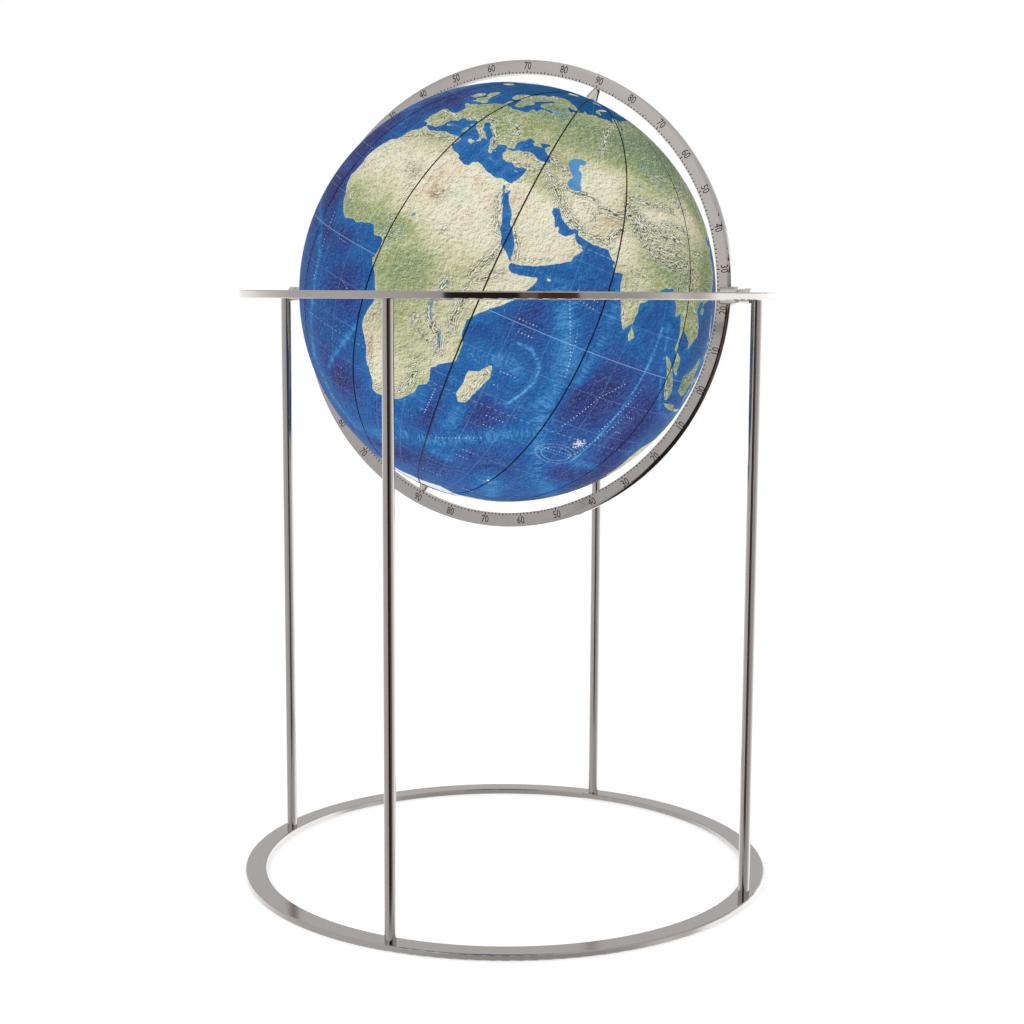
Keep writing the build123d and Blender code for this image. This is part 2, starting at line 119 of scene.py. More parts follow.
NORTH_AMERICA = """
-168,65.6 -161.5,66.5 -166,68.3 -156.6,71.3 -141,69.7 -135,69.2 -128,70.3 -125,69.4 -115,68.5
-108,68 -101,67.8 -95,68 -94,71.8 -88,68.8 -82,69.6 -81.5,67.5 -86,66.3 -87,64 -94,61 -94.7,58.8
-92.5,57 -88,56.5 -82.3,55.1 -82,53 -79.5,51.5 -78.8,53 -79.5,54.7 -76.7,57 -78,60 -77.8,62.4
-73,62.2 -70,61 -69,58.9 -65.5,59.5 -64.5,60.3 -61.8,57 -57.5,54.6 -55.8,52.8 -58.5,51.3 -60,50.2
-66.5,50.2 -69.5,48 -65,49.2 -64.5,47.6 -65,46.3 -61,45.6 -60.2,46.8 -61,45.3 -65.7,43.5 -67,44.8
-70,43.7 -70.7,42 -70,41.7 -74,40.7 -74.3,39.3 -75.6,37 -76,35.2 -77.9,33.9 -81,32 -81.3,30 -80.1,27
-80.4,25.2 -81.8,26 -82.8,27.8 -82.7,28.9 -84,30.1 -86,30.4 -89.2,30.3 -89.4,29.1 -91.5,29.4
-94.7,29.3 -97.2,27.6 -97.6,25 -97.8,22.4 -96.2,19.2 -94.5,18.2 -91.8,18.6 -90.5,19.8 -90.3,21.1
-87,21.5 -87.5,19.5 -88.2,18 -88.8,15.9 -86,15.9 -83.3,15 -83.6,12.5 -83.7,11 -82,9.1 -79.6,9.5
-77.3,8.6 -76.4,7.6 -78,8.1 -79.5,9 -80.4,7.3 -82.9,8.2 -83.7,9.2 -85.7,10 -85.8,11.1 -87.6,13
-91.5,14 -94.2,16.2 -96.5,15.7 -99.8,16.8 -103.5,18.3 -105.5,20.3 -105.5,22 -108.5,25.3 -110.5,27.5
-113,31.2 -114.8,31.7 -113,28.5 -111.3,26 -109.5,23 -110.2,23.2 -112.2,25 -112.2,26.1 -115,27.9
-114.8,29.5 -116.5,31.5 -117.3,33 -120.5,34.5 -122.4,37.4 -123.8,39.5 -124.3,40.5 -124.2,44
-124,46.5 -124.7,48.3 -123,48.4 -123,49.2 -127.5,51 -130.3,54.3 -133.5,57 -137,58.5 -140,59.7
-144,60 -148.5,60 -151.8,59.2 -151.5,61 -154,59.2 -158,56.2 -163,54.8 -161,56 -157.5,57.8
-157.5,58.8 -162,58.7 -165,60.5 -165.5,62 -163.8,63.2 -161,63.6 -161,64.6 -166,64.5
"""
SOUTH_AMERICA = """
-77.7,8.9 -76.8,8 -75.5,10.7 -74.8,11.1 -71.7,12.4 -71.3,11 -68.2,11.3 -67,10.5 -62.7,10.6 -61,8.5
-57,6 -52,4.8 -50.5,1.8 -50,0 -48.4,-1 -44.5,-2.6 -40,-2.9 -37,-4.9 -35.3,-5.4 -34.8,-8 -37,-11
-39,-13.5 -38.9,-16 -39.7,-19.5 -41,-22 -44,-23 -46.5,-24.2 -48.6,-26 -48.7,-28.5 -50.5,-30.8
-53.4,-33.8 -54.9,-34.9 -57.8,-34.3 -57,-36.3 -57.8,-38.2 -62,-39 -62.3,-40.8 -65,-41 -63.7,-42.5
-65.3,-44.5 -67.5,-46 -65.8,-47.9 -69,-50.5 -68.4,-52.4 -65.2,-54.7 -68.5,-55.5 -71.5,-54
-74.5,-52.2 -75.5,-48.5 -74.5,-45 -73,-42 -73.6,-39 -73.2,-37 -71.6,-33 -71.5,-30 -70.4,-25
-70.1,-20 -71.5,-17.5 -75.5,-15.2 -77,-12 -79,-8.2 -81.2,-6 -81.3,-4.3 -80,-3.2 -81,-1 -80,.8
-78.8,1.6 -77.3,3.9 -77.5,6.8 -78.2,8
"""
ANTARCTICA = """
-180,-78 -165,-78.5 -158,-77 -150,-77 -140,-75 -125,-74 -110,-74.5 -100,-73 -80,-73 -70,-72.5
-68,-68 -62,-64.8 -57,-63.3 -60,-66 -62,-70 -61,-74 -70,-77 -60,-77.5 -45,-78 -35,-78 -26,-75.5
-15,-72.5 -8,-70.8 0,-69.5 12,-70 25,-70 33,-68.7 40,-69 48,-67.5 55,-66 62,-67.5 70,-69.5 75,-69.5
80,-67.8 90,-66.7 100,-65.8 112,-66 125,-66.5 135,-66 145,-67 155,-69 165,-70.6 170,-72 165,-76
166,-78 180,-78 180,-90 -180,-90
"""
GREENLAND = """
-73,78.2 -66,76 -58,75.6 -54.5,72 -51,69.6 -53.5,67 -52,64 -48.5,61 -43.5,60 -41.5,63 -37,65.6
-25,68.8 -22,70.5 -19.5,75 -18,77 -12,81 -20,82.5 -34,83.5 -55,82.5 -65,81.2
"""
# One island to each block of lines.
ISLANDS = """
-5.6,50.1 -3,50.6 1.4,51.2 1.7,52.7 .2,53 -1.6,55.3 -2,57.6 -3.2,58.6 -5,58.5 -5.8,56.5 -4.8,54.8
-3.1,54.9 -3,53.4 -4.5,53.3 -4.2,52.3 -5.2,51.8 -3.2,51.4

-6.3,52.2 -10,51.7 -9.8,53.4 -10,54.2 -8,55.2 -6.2,55.2 -5.5,54.4 -6.1,53.4

-22.5,64 -18.8,63.4 -14,64.6 -14.8,66 -18.5,66.1 -22.4,66.4 -24,65.6 -22,64.7

11,79 16,76.6 20,78.2 27,80 20,80.5

52,71 57.5,70.6 56,73.2 62,75.4 68.5,76.7 65,77 58,75.7 54,73.7

8.3,41 9.7,40.8 9.5,39.2 8.4,39

9.4,43 8.6,42.3 9.2,41.4 9.5,42.2

12.5,37.8 15.6,38.2 15.1,36.7

32.4,34.9 34.4,35.6 33.9,34.9

49.3,-12 50.4,-15.6 49.4,-18 47.2,-24.8 45.2,-25.5 43.8,-23.4 44.4,-20 44.4,-16.3 47,-15.3

79.9,9.7 81.8,7.3 80.6,6 79.8,7.3

95.3,5.6 97.5,5.2 100.3,2.8 103.4,0 106,-3 105.8,-5.8 104.5,-5.8 102.2,-3.9 100.3,-1 98.8,1.7

105.2,-6.8 108.5,-6.7 112.6,-6.9 114.5,-7.8 114.3,-8.7 110,-8.2 106.5,-7.4

109,1.5 111.3,2.5 113.2,3.3 116.7,7 119.2,5.2 117.8,3 119,1 117.5,-.8 116.3,-3.8 114,-4 110.2,-2.9

122,7 125.5,9.5 126.5,7.3 125.3,6 124,7

131,34.2 133,35.5 136,35.8 137,37.3 139.4,38.2 140,40.5 141,41.4 142,39.6 141,38.2 140.8,35.8
138.8,34.7 136.8,34.4 135.8,33.5 134.8,34.7

140,41.6 140.5,43.2 141.8,45.4 145.3,43.3 143.2,42

130,33.5 131.9,33.3 131.3,31.4 130.3,31.3

131,-.8 134,-.8 135,-3.3 138,-1.7 141,-2.6 145.8,-5.2 147.8,-6 150.8,-10.3 147.2,-9.5 144.5,-7.7
143,-9.2 139.5,-8.1 138,-5.5 133.5,-4 132,-2.8

114.2,-21.8 117,-20.7 119,-20 121.5,-19 122.2,-17.2 124,-16.3 126.2,-14 128,-14.8 129.6,-14.9
130.8,-12.4 132.6,-11.5 135.5,-12.1 136.8,-12.2 135.6,-15 139.2,-17.4 141,-16.5 141.7,-13
142.5,-10.7 143.6,-14.2 145.3,-15 146.2,-18.9 148.8,-20.4 150.8,-23.4 153.2,-25.5 153.5,-28.4
152.5,-32.3 150.2,-36.5 149.9,-37.5 146.3,-39 143.5,-38.8 140.5,-38 138.5,-35.6 137.8,-35.1
137.8,-32.9 135.9,-34.8 134,-32.9 131.2,-31.5 126,-32.3 123.7,-33.9 119.8,-34 118,-35 115.1,-34.3
115.8,-31.8 114.2,-27.5 113.4,-25.5

144.8,-40.8 148.3,-40.9 147.8,-43.2 146,-43.5

172.8,-34.5 175.3,-36.8 178.4,-37.6 176.9,-39.6 175.2,-41.6 173.9,-39.3 174.8,-37.8

172.7,-40.6 174.2,-41.6 171.2,-44.2 170.4,-46 168.3,-46.6 166.5,-45.9 170.8,-42.9

-64.5,63.5 -61.5,66.6 -68,69.5 -78,72.5 -89,73.6 -85,70 -77,69.5 -73,67.5 -72.5,65.5 -78,64.5
-71,62.6 -66,62

-117,71 -108,73 -101,69.5 -113,69

-90,77 -78,76.5 -62,82.4 -75,83 -92,81.3

-123,71.5 -125,74 -116,73

-59.3,47.7 -55.6,51.5 -53,47
"""
# Long narrow islands and small ones.
ISLAND_LINES = """
.22 23.7,35.3 26.1,35.1; .2 1.4,39 3.9,39.9; .3 53.4,12.5 54.2,12.5;
.45 119.5,-5.5 120,-3 121,-1.5 120,.4 124,.8; .4 122.5,-4.5 121,-1.8;
.6 120.7,18.3 121,15.3 123.6,13; .4 122.5,11 124.9,11.3; .5 121.3,24.6 120.9,22.8;
.8 109.5,19.1 110,19.2; .35 142.6,46.5 143,49 142.9,54; .35 115.2,-8.4 118,-8.6 121.5,-8.6;
.4 123.7,-10.1 126.6,-8.5; .2 164.3,-20.4 166.8,-22.2; .35 -84.3,22.3 -80,22.7 -75,20.3;
.7 -72.5,18.8 -69.5,18.9; .3 -77.8,18.2 -66.5,18.2 -66,18.2; .4 -127.8,50.6 -124.2,48.8;
.3 -60,-51.8 -58.5,-51.8; 1 -87,75.2 -82,75.3; 1.1 -100,73 -98,72.8; .9 -85,64.5 -82.5,64.2;
.5 95,79.6 100,79.2; .4 50,80.5 60,80.7; .6 139,75.4 148,75.2; .35 69,-49.3 70,-49.3;
.12 55.5,-21.1 57.6,-20.3; .14 -16.5,28.3 -14,28.5; .12 -24.2,16.6 -23.5,15;
.15 -155.6,19.6 -156.4,20.8 -158,21.5; .15 177.7,-18 178.5,-17.8; .1 92.8,13 93,11.8;
.1 43.3,-11.7 45.2,-12.8
"""
# Narrow gulfs cut into the land.
GULF_LINES = """
.3 34.2,27.4 33.2,28.6 32.6,29.8; .2 34.5,27.9 34.9,29.3; .25 22,38.1 23,37.9;
.3 26.8,40.2 29.2,40.7; .35 49.6,30 48.8,29.6; .3 16.6,68.2 14.6,67.4; .4 23.4,59.8 29.4,59.8
"""
BLACK_SEA = """
29,41.2 28,42 27.8,43.2 28.7,44 29.7,45.1 30.8,46.5 32.7,46.1 33.6,46 32.6,45.4 33.5,44.5 35.3,45
36.5,45.3 35,46 35.3,46.5 37.5,47.1 39.2,47.1 38.3,46.3 37.4,45.3 38,44.4 39.7,43.4 41.5,42 41,41.2
38.4,40.9 36.3,41.3 35,42 33.3,42 31.4,41.3
"""
CASPIAN = """
47.5,45.5 49,46.5 51.5,47 53,46.8 53.1,45.4 51.3,45.1 50.9,44.5 51.2,43.2 52.5,42.7 52.9,41.3 53,40
53.1,39.3 53.9,38.5 54,37.2 52,36.7 50.5,37 49,37.6 49.2,39 50.2,40.3 48.6,41.9 47.6,43 47,44.4
"""
LAKE_LINES = """
.14 58.3,45 59.2,44.6 60.2,45.6; .22 73.8,46.2 75.5,46.7 78.6,46.5; .2 76.6,42.4 78,42.5;
.3 104,51.6 106.5,52.7 108.7,54 109.6,55.6; .9 32.7,-1.2 33.4,-.8; .28 29.3,-3.6 29.6,-6 30.8,-8.5;
.25 34.1,-9.8 34.3,-12 35,-14.2; .2 36,4.4 36.2,2.7; .25 30.6,1.3 31.3,2; .35 14,13 14.6,13.3;
.14 -.2,6.6 -.1,8.2; .16 27,-17.6 28.8,-16.6; .25 42.7,38.6 43.3,38.6; .2 45.4,37.2 45.3,38;
.6 31,60.6 31.8,61; .4 35.2,61.2 35.6,62.2; .3 12.8,58.6 13.6,59; .2 31,-.3 30.9,-.4;
.2 26.2,-11.2 26.6,-10.6; .2 29.7,-11.2 29.9,-11.4; .2 22.8,-19 23,-19.3; .25 97.4,39 97.9,39.6;
.2 100.4,36.9 100.8,36.8; .3 91.7,50.3 93,50; .2 90.8,31.6 91.2,31.6; .7 -90,47.6 -86,47.6;
.6 -87.2,42.2 -86.8,45.4; .6 -82.6,43.6 -82,45.4; .25 -83,41.5 -79.5,42.6; .2 -79.2,43.5 -76.8,43.6;
.4 -97.5,53 -98,51; .8 -122.5,66 -119,66; .4 -116,61.4 -111,62.3; .3 -110.8,59.2 -107.5,59.3;
.25 -69.8,-15.6 -69.1,-16.4; .3 -85.8,11.8 -85.2,11.3; .4 137,-28.3 137.6,-28.8; .2 81,55 80,53.7;
.3 26.5,63.2 28.4,62.4; .15 38,38.6 39,38.8
"""
# Mountains.
RANGES = """
1.9,.8 -9.5,30.3 -4,33 2,34.6 9,36; 2.2,.5 16.5,20.5 18.6,21.3; 2.4,.5 4.5,23.5 7.5,23.8;
1.2,.4 8.5,17.4 8.7,19.6; 1.7,.6 9.5,5 13,7.5; 1.3,.5 8.6,9.7 9.8,9.9; 1.3,.45 24,13 24.4,14;
1.5,.6 33,27 35.2,23 37,18.5; 1.4,1 39.4,15.4 38.4,12 36.8,8.6 35.6,6;
1.1,.8 42.6,9.6 39.8,7.4 37.4,5; 1.6,.8 31,2.4 29.6,-2 29.2,-6 31.6,-9.4 34.6,-11.4 35.2,-15;
1.6,.8 36,2.5 36.5,-2 35.6,-5.4 36.6,-8.4; 1.6,.6 26.5,-9 28.6,-12.4 32,-13.6; 2,.6 16,-11.6 14,-16;
1.3,.5 13.8,-18 16,-23 17,-28; 1.8,.8 19.5,-33 25,-32 28.6,-30 30.6,-26 30.6,-22;
1.3,.6 29.5,-19.5 32.6,-18; 1.5,.7 48.8,-14.6 47.4,-19 46.6,-24; 1.6,.5 -12,11 -9,8.4;
1.2,.4 21,-22 25,-19; 1,.7 -8,42.8 -1,43; .9,.9 -.6,42.8 2.6,42.5; 1,.6 -6.4,40.3 -3,41 -2,40;
.9,.7 -4.4,37.1 -1.8,38; 1.3,1 6.4,44.3 7.6,46.1 11,46.9 15.4,47.2; .8,.7 9,44.4 13,42.6 16,40;
1.2,.8 14.6,45.7 18,43.6 20.6,42 21.6,39.6; 1,.9 18,49.2 22,49 25,47.4 26,45.7 23,45.4;
.8,.7 23,42.8 27,42.8; 1.9,.7 7,60.5 10,63 15,66.5 19,69; .9,.5 3,45.2 3.6,44.2;
1.1,.8 58,52 59,56 59.5,60 61,64 66,67.5; 1.1,1 39.5,43.8 43,42.9 48,41;
1.3,.9 30.4,37.2 34,37.2 37,38 41,38.4 44.4,38; 1,.7 32,41 37,40.6 41,40.6;
1.9,1 45,36.4 48,33.5 51,31 54,28.7 57,27.6; 1,1 49,37 52,36 56,37 60,36.4;
1.3,.8 58,27 62,26.8 66,27.4; 1.2,.6 57,34 60,33.2 60.6,30; 1.3,.9 66.6,26.4 67,29 69.6,32;
1.5,1 62,34.8 68,35.2 72,36.6; 1.7,1.3 71,39.2 74,38; 1.5,1.3 74,36.2 78,34.4;
1.4,1.35 74,34.2 78,31 82,29 86,28 90,28 94,28.6 97,28.5; 1.6,.8 80,32.6 85,31 90,31.2 95,31.4;
1.8,.8 81,35 88,34.6 94,34.4; 1.3,.9 76,37.6 80,36.2 86,36.4 92,36 98,35;
1,.8 86,38.3 92,39.2 97,38.8 101,37.4; 1.5,.9 70,42 75,41.7 80,42.3 86,43.2 92,43.4;
1.5,.8 84,50.6 90,48.6 95,46.5 101,44.8; 1.4,.7 88,53 94,52.8 100,51.8; 1.6,.6 98,47.4 101,48;
1.5,.7 103.6,51.6 108,53.2 112,56; 1.6,.6 110,50 116,52 120,55; 1.8,.7 120,56.4 131,56;
1.8,.7 128,71 128,66 136,62 141,61; 2,.7 140,68 146,65 152,62.4; 1.8,.6 155,64 162,66 170,66;
1.2,.7 157,52 160,56; 1.2,.5 128,38 128.6,41; 1.5,.6 134,45 137,48.5; 1.6,.6 119,47 122,51;
1.3,.7 104,33.8 110,33.8; 1.2,1 98,31 99,26 98.6,21; 1.2,1 101,31 101.6,25 101,21;
1.2,.8 104,27 106,24; 2.4,.6 112,26 117,26.6; 1,.7 103,20 106,17 108.2,13.4;
1.1,.8 94.6,24.5 93.8,20; .9,.6 73.8,19 75.2,14 77,10; 1.4,.5 75,22.4 80,23; 2.4,.35 77,19 79,15;
1.2,.5 84,21 82,18.4; 1,.8 99,16 99,20; 1,.7 97,4 100,0 102,-3 104.5,-5.5; 1.4,.6 112,1.4 115.5,4;
1.3,.8 134,-3.8 141,-5 146,-6.6; 1.6,.6 146,-18.6 150,-25 151.6,-30 148.4,-36.4;
1.4,.5 130,-23.6 135,-23.6; 1.6,.4 127,-16 126,-18; 1,.8 171,-43.6 168,-45.4;
1.2,.8 39.6,21.4 42,18.4 44.2,14.2; .9,.5 46,14.6 52,16.8; .8,.6 56.4,24.4 58.6,23;
.8,.6 35.8,33 36.2,35.4; .7,.7 33.6,29 34.2,28.3;
2.6,.9 -150,63 -140,61 -130,57 -122,51 -114,46 -107,41 -105,36;
1.2,.8 -125,52 -121.4,46 -121,39 -118.4,36 -116,32; 1.5,.6 -162,68 -145,68.6;
1.9,.8 -108,30 -104,24 -100,19.4 -96,17; 1.1,.7 -92,15.2 -87,14 -84,10;
1.3,.7 -85,34.5 -80,38.5 -74,43 -70,45.5; 1.4,.7 -75,39 -74,7 -76,3;
1.8,1 -74,7 -76,3 -78.6,-2 -78,-7 -75,-12.4 -70,-16.4 -67.6,-21 -69,-27 -70,-33 -71.4,-40 -73,-48;
1.4,.7 -66,-17.6 -65.4,-24; 1.8,.5 -46,-23 -43,-20 -41,-14; 1.5,.5 -66,4 -61,5
"""
# How dry (1) or green (-1) the country is.
CLIMATES = """
8,24,31,9.5,1 27,25,14,9,.9 -12,22,7,7,.6 47,21,14,9,1.2 38,28,7,6,.7 56,33,9,6,.75 59,41,9,5.5,1.25
70.5,27.5,4.5,4.5,1.2 83,39.3,8,3.2,1 103,42.5,12,5,.8 20,-24,7,7,.85 15,-22,3.5,9,.8 22,-31,6,4,.5
46.5,6,7,7,.75 66,47,11,4,.65 43,34,6,3,-.55 86,33,11,4.5,.35 130,-25.5,17,9,1.2 -112,36,9,8,.9
-105,28,7,6,.8 -69.5,-22,3,9,.9 -69,-44,5,9,.7 45,-21,4,7,.5 -4,39.4,4,3,.1 33.5,38.7,5,2,.45
40,1,5,5,.4 -40,-8,5,5,.4 77,20,5,6,.3 31,14,9,5,.35 95,46,8,4,.3 110,38,6,3,.4 33,-10,8,8,.3
36,-18,5,6,.25 48,-19,2.5,8,.35 20,0,8,5,-.6 8,7,6,3,-.6 27,8,10,5,.3 17,15,9,3,.25 -9,13,7,4,-.3
-8,7,6,3.4,-.6 9,9,8,3,-.4 20,51,34,11,-.36 28,50,12,5,.42 72,60,26,9,-.7 105,62,34,12,-1
30,63,18,7,-.7 -4,41,8,4,-.2 102,18,13,12,-.22 114,27,9,8,-.7 124,46,12,8,-.6 140,37,5,8,-.8
113,0,9,7,-.9 101,0,8,6,-.9 140,-5,12,5,-.9 150,-28,6,12,-.5 -62,-5,16,11,-1 -55,-25,9,8,-.4
-80,38,12,11,-.8 -100,56,42,9,-.9 -122,48,6,9,-.6 -88,16,6,5,-.7 94,25,6,5,-.6 85,26.6,8,2,-.3
174,-41,6,8,-.7 -73,-45,3,9,-.4 58,52,20,5,-.1 44,42,6,2,-.3
"""
# Rust-coloured desert.
RUSTY = """
17.5,20.7,2.4,1.8,1 6,23.4,3,2.4,.9 16,22,3,5,.4 34,24.6,2.6,4,.8 38,18,1.6,4,.7 15.4,-22,2.4,6.5,.9
36.6,27,3,3,.5 43,17,2.2,4,.55 66,33,4,2.4,.7 12,17.4,3,3,.15 25,-29,5,4,.35 7,15.5,8,3,.12
28,15,6,4,.06 -8,30,4,2,.3 132,-24,12,5,.7 22,18,8,4,.08 71,37,4,2,.4 -111,36,5,4,.6 45,-18,3,5,.3
42,6,5,4,.2
"""
# Ice and snow.
ICE = """
0,-90,400,24,1.4 -41,74,17,9,1.6 -44,66,5,6,1 -80,80.5,20,3.6,1 18,79,9,2,1 62,76.3,7,1.2,1
97,79.6,7,1.6,1 55,80.7,9,1.4,1 -18,64.6,2,.8,.8 -140,61,3,1.4,.7 69.5,-49.3,2,1,.8 -68,69,4,3,.5
88,28,9,.5,.35 76,35.6,3,.8,.6
"""
# The sea floor's ridges.
SEA_RIDGES = """
1.7,.8 -32,60 -29,51 -30,40 -43,28 -45,15 -34,5 -20,0 -13,-8 -13,-20 -15,-35 -9,-46 0,-53;
2.8,.8 0,-53 14,-52.5 26,-48 32,-44.5 42,-42 50,-37 58,-32 64,-28 70,-25.4;
3.8,.8 70,-25.4 66.6,-18 67.6,-12 67,-5 64,1 60,8 57,12;
3.2,.8 70,-25.4 76,-33 82,-40 92,-44 106,-49 125,-50 140,-54 160,-61;
.55,1.1 90.6,12 90.2,2 89.4,-6 88.6,-14 88,-22 87.4,-30; 1,.8 87.4,-31 94,-31 101,-31.6;
5,.34 59,16 66,20; 2,.8 73,15 73.2,6 72.6,-2 71.8,-8;
.6,1.1 53,-4.6 57,-4.8 60.6,-8 61.2,-12 59.6,-16.6 57.6,-20.4; 1,.9 9.6,-19 6,-24.6 1.4,-30 -4,-36;
2,.8 46,-27 45.4,-33; 1.2,.6 35,-27 36,-33; 2,.9 25,-39.6 27,-41; 3.2,.8 68,-47 74,-53 82,-58;
2.2,.7 42,-45.6 50,-46; .7,.7 44,11.8 50,13.4 57,13.4; 2.6,.8 46,-11 54,-10 56,-12;
1,.6 41,-22 42,-17; 2.2,.5 -18,33 -26,38.6; 1.6,.5 -28,-30 -34,-31;
1.5,.6 -112,18 -105,12 -103,4 -105,-5 -113,-20 -112,-36 -120,-50 -145,-57 -172,-63;
.9,.7 -155,20 -170,26 -188,34 -191,48; 2,.6 161,-24 166,-36; 1,.6 -76,-15 -84,-21 -104,-26;
1.6,.5 138,30 143,14 134,4; 1.6,.5 175,-40 184,-24 185,-16; 1.4,.5 -88,0 -83,4;
2.4,.5 -34,-56 -48,-54; 1.5,.5 -140,-8 -150,-16; 1.8,.5 -24,66 -10,64 0,61; 1,.5 5,75 8,80 40,86;
.8,.8 93,12 94.4,7 96.4,1 101,-5 106,-9.4 115,-11; 3,.4 113,-18 108,-24; 1.2,.4 2,-2 6,1;
2,.45 -22,15 -30,16
"""
# Basins that sink deeper than the open sea around them.
SEA_BASINS = """
80,-9,7.5,10,1 99,-16,8,12,1 52,1,5,6,.35 53,-27,6,8,.8 2,-12,6,7,.8 2,-36,9,6,.9 -27,22,11,24,1
-14,47,9,7,1 -24,8,8,6,.7 60,-42,9,5,.5 27,-55,18,4,.8 110,-35,12,8,.8 88,-37,9,4,.6 64,16,4,4,-.2
-60,28,12,10,.8 -45,-40,10,8,.8 150,30,14,14,.8 -160,5,22,22,.6 -135,-35,16,14,.7 -90,-32,12,12,.6
160,10,10,8,.5 -100,-60,22,6,.6 120,-58,22,4,.6 38,-33,3,6,.7 46,-50,12,3,.5 73,-15,3.5,7,.4
130,20,7,7,.7 -15,-2,6,4,.5 57,24,3,2,.1 -4,.5,4,3,.6
"""
# Rows of pale specks where a map names its seas.
SPECK_ROWS = """
51,1 56.5,1; 52,-2 56.5,-2; 62,13 69,12; 62.5,11 68.5,10; 60.5,10.5 67,-3.5; 75,-21 80,-10 86,-4;
87,-19 92,-4; 93,-13 97,-13; 93,-18 96,-18; 52,-13 57,-13; 52,-17 54,-17; 54,-26 60,-26;
54.5,-29 58.5,-29; 38,-25 37,-34; 43,-40 57,-33; 53,-40 58,-40; 52,-43 57,-43; 1,-10 5,-12;
2,-33 5,-33.5; 2,-36 5,-36.5; -6,-1 -1,-1; -14,4 -13,-6 -14,-16; 42,-57 53,-57; 66,-60 73,-60;
66,3 68,-9; 85,-30 94,-8; 74,-29 86,-29; -30,12 -22,12; 150,20 160,20; -150,10 -140,10;
-130,-20 -118,-20
"""


def corners(text):
    """Groups of comma-separated numbers as the rows of an array."""
    return np.array([[float(number) for number in group.split(",")] for group in text.split()])


def lines(text):
    """Each line's own numbers, and its corners."""
    for row in text.split(";"):
        facts, line = row.split(None, 1)
        yield [float(number) for number in facts.split(",")], corners(line)


def on_globe(longitude, latitude):
    """Unit vectors in the map's own frame, with longitude 0 along X."""
    lon, lat = np.radians(longitude), np.radians(latitude)
    return np.stack([np.cos(lat) * np.cos(lon), np.cos(lat) * np.sin(lon), np.sin(lat) + 0 * lon], -1)


def to_line(places, line, closed=False):
    """How far each place is from a line, in degrees, and how far along the line its nearest point is."""
    ends = on_globe(line[:, 0], line[:, 1])
    starts, stops = (ends, np.roll(ends, -1, 0)) if closed else (ends[:-1], ends[1:])
    step = stops - starts
    length = np.maximum((step**2).sum(1), 1e-12)
    along = np.concatenate([[0], np.cumsum(np.sqrt(length))])[:-1]
    offset = (starts * step).sum(1)
    step_part = places @ step.T
    share = np.clip((step_part - offset) / length, 0, 1)
    square = 1 + (starts**2).sum(1) + share**2 * length - 2 * (places @ starts.T)
    square += 2 * share * (offset - step_part)
    nearest = square.argmin(1)
    rows = np.arange(len(places))
    far = np.degrees(np.sqrt(np.maximum(square[rows, nearest], 0)))
    run = np.degrees(along[nearest] + share[rows, nearest] * np.sqrt(length[nearest]))
    return far, run


def inside(longitude, latitude, line):
    """Which places lie inside a closed outline."""
    result = np.zeros(len(longitude), bool)
    for (x0, y0), (x1, y1) in zip(line, np.roll(line, -1, 0)):
        if y0 != y1:
            crosses = (y0 > latitude) != (y1 > latitude)
            result ^= crosses & (longitude < x0 + (latitude - y0) / (y1 - y0) * (x1 - x0))
    return result


REACH = 14.0
POLAR_LAND = -50.0


def shore_of(field, places, longitude, latitude, line):
    """Raises the field to the signed distance from an outline, in degrees, positive inside it."""
    edge = on_globe(line[:, 0], line[:, 1])
    middle = edge.mean(0)
    middle /= np.linalg.norm(middle)
    spread = np.degrees(np.arccos(np.clip((edge @ middle).min(), -1, 1)))
    if line[:, 1].min() < -89:
        # The last two corners only close this outline round the pole, so they are no shore.
        close = latitude < POLAR_LAND
        far = to_line(places[close], line[:-2])[0]
    else:
        close = np.degrees(np.arccos(np.clip(places @ middle, -1, 1))) < spread + REACH + 2
        far = to_line(places[close], line, True)[0]
    held = np.zeros(len(far), bool)
    for turn in (-360, 0, 360):
        held |= inside(longitude[close] + turn, latitude[close], line)
    field[close] = np.maximum(field[close], np.where(held, far, -far))


def blobs(longitude, latitude, text):
    """Soft round patches added up."""
    total = np.zeros(len(longitude))
    for lon, lat, wide, tall, strength in corners(text):
        across = (longitude - lon + 180) % 360 - 180
        total += strength * np.exp(-((across / wide) ** 2) - ((latitude - lat) / tall) ** 2)
    return total


LINE_OFFSET = 37.0


def ridge_field(places, text):
    """The strongest ridge at each place, with how far off and how far along the nearest line is."""
    strength, fold, run = np.zeros((3, len(places)))
    near = np.full(len(places), np.inf)
    for index, ((width, height), line) in enumerate(lines(text)):
        far, along = to_line(places, line)
        strength = np.maximum(strength, height * np.exp(-((far / width) ** 2)))
        closer = far / width < near
        near[closer] = (far / width)[closer]
        fold[closer] = far[closer]
        run[closer] = along[closer] + LINE_OFFSET * index
    return strength, fold, run


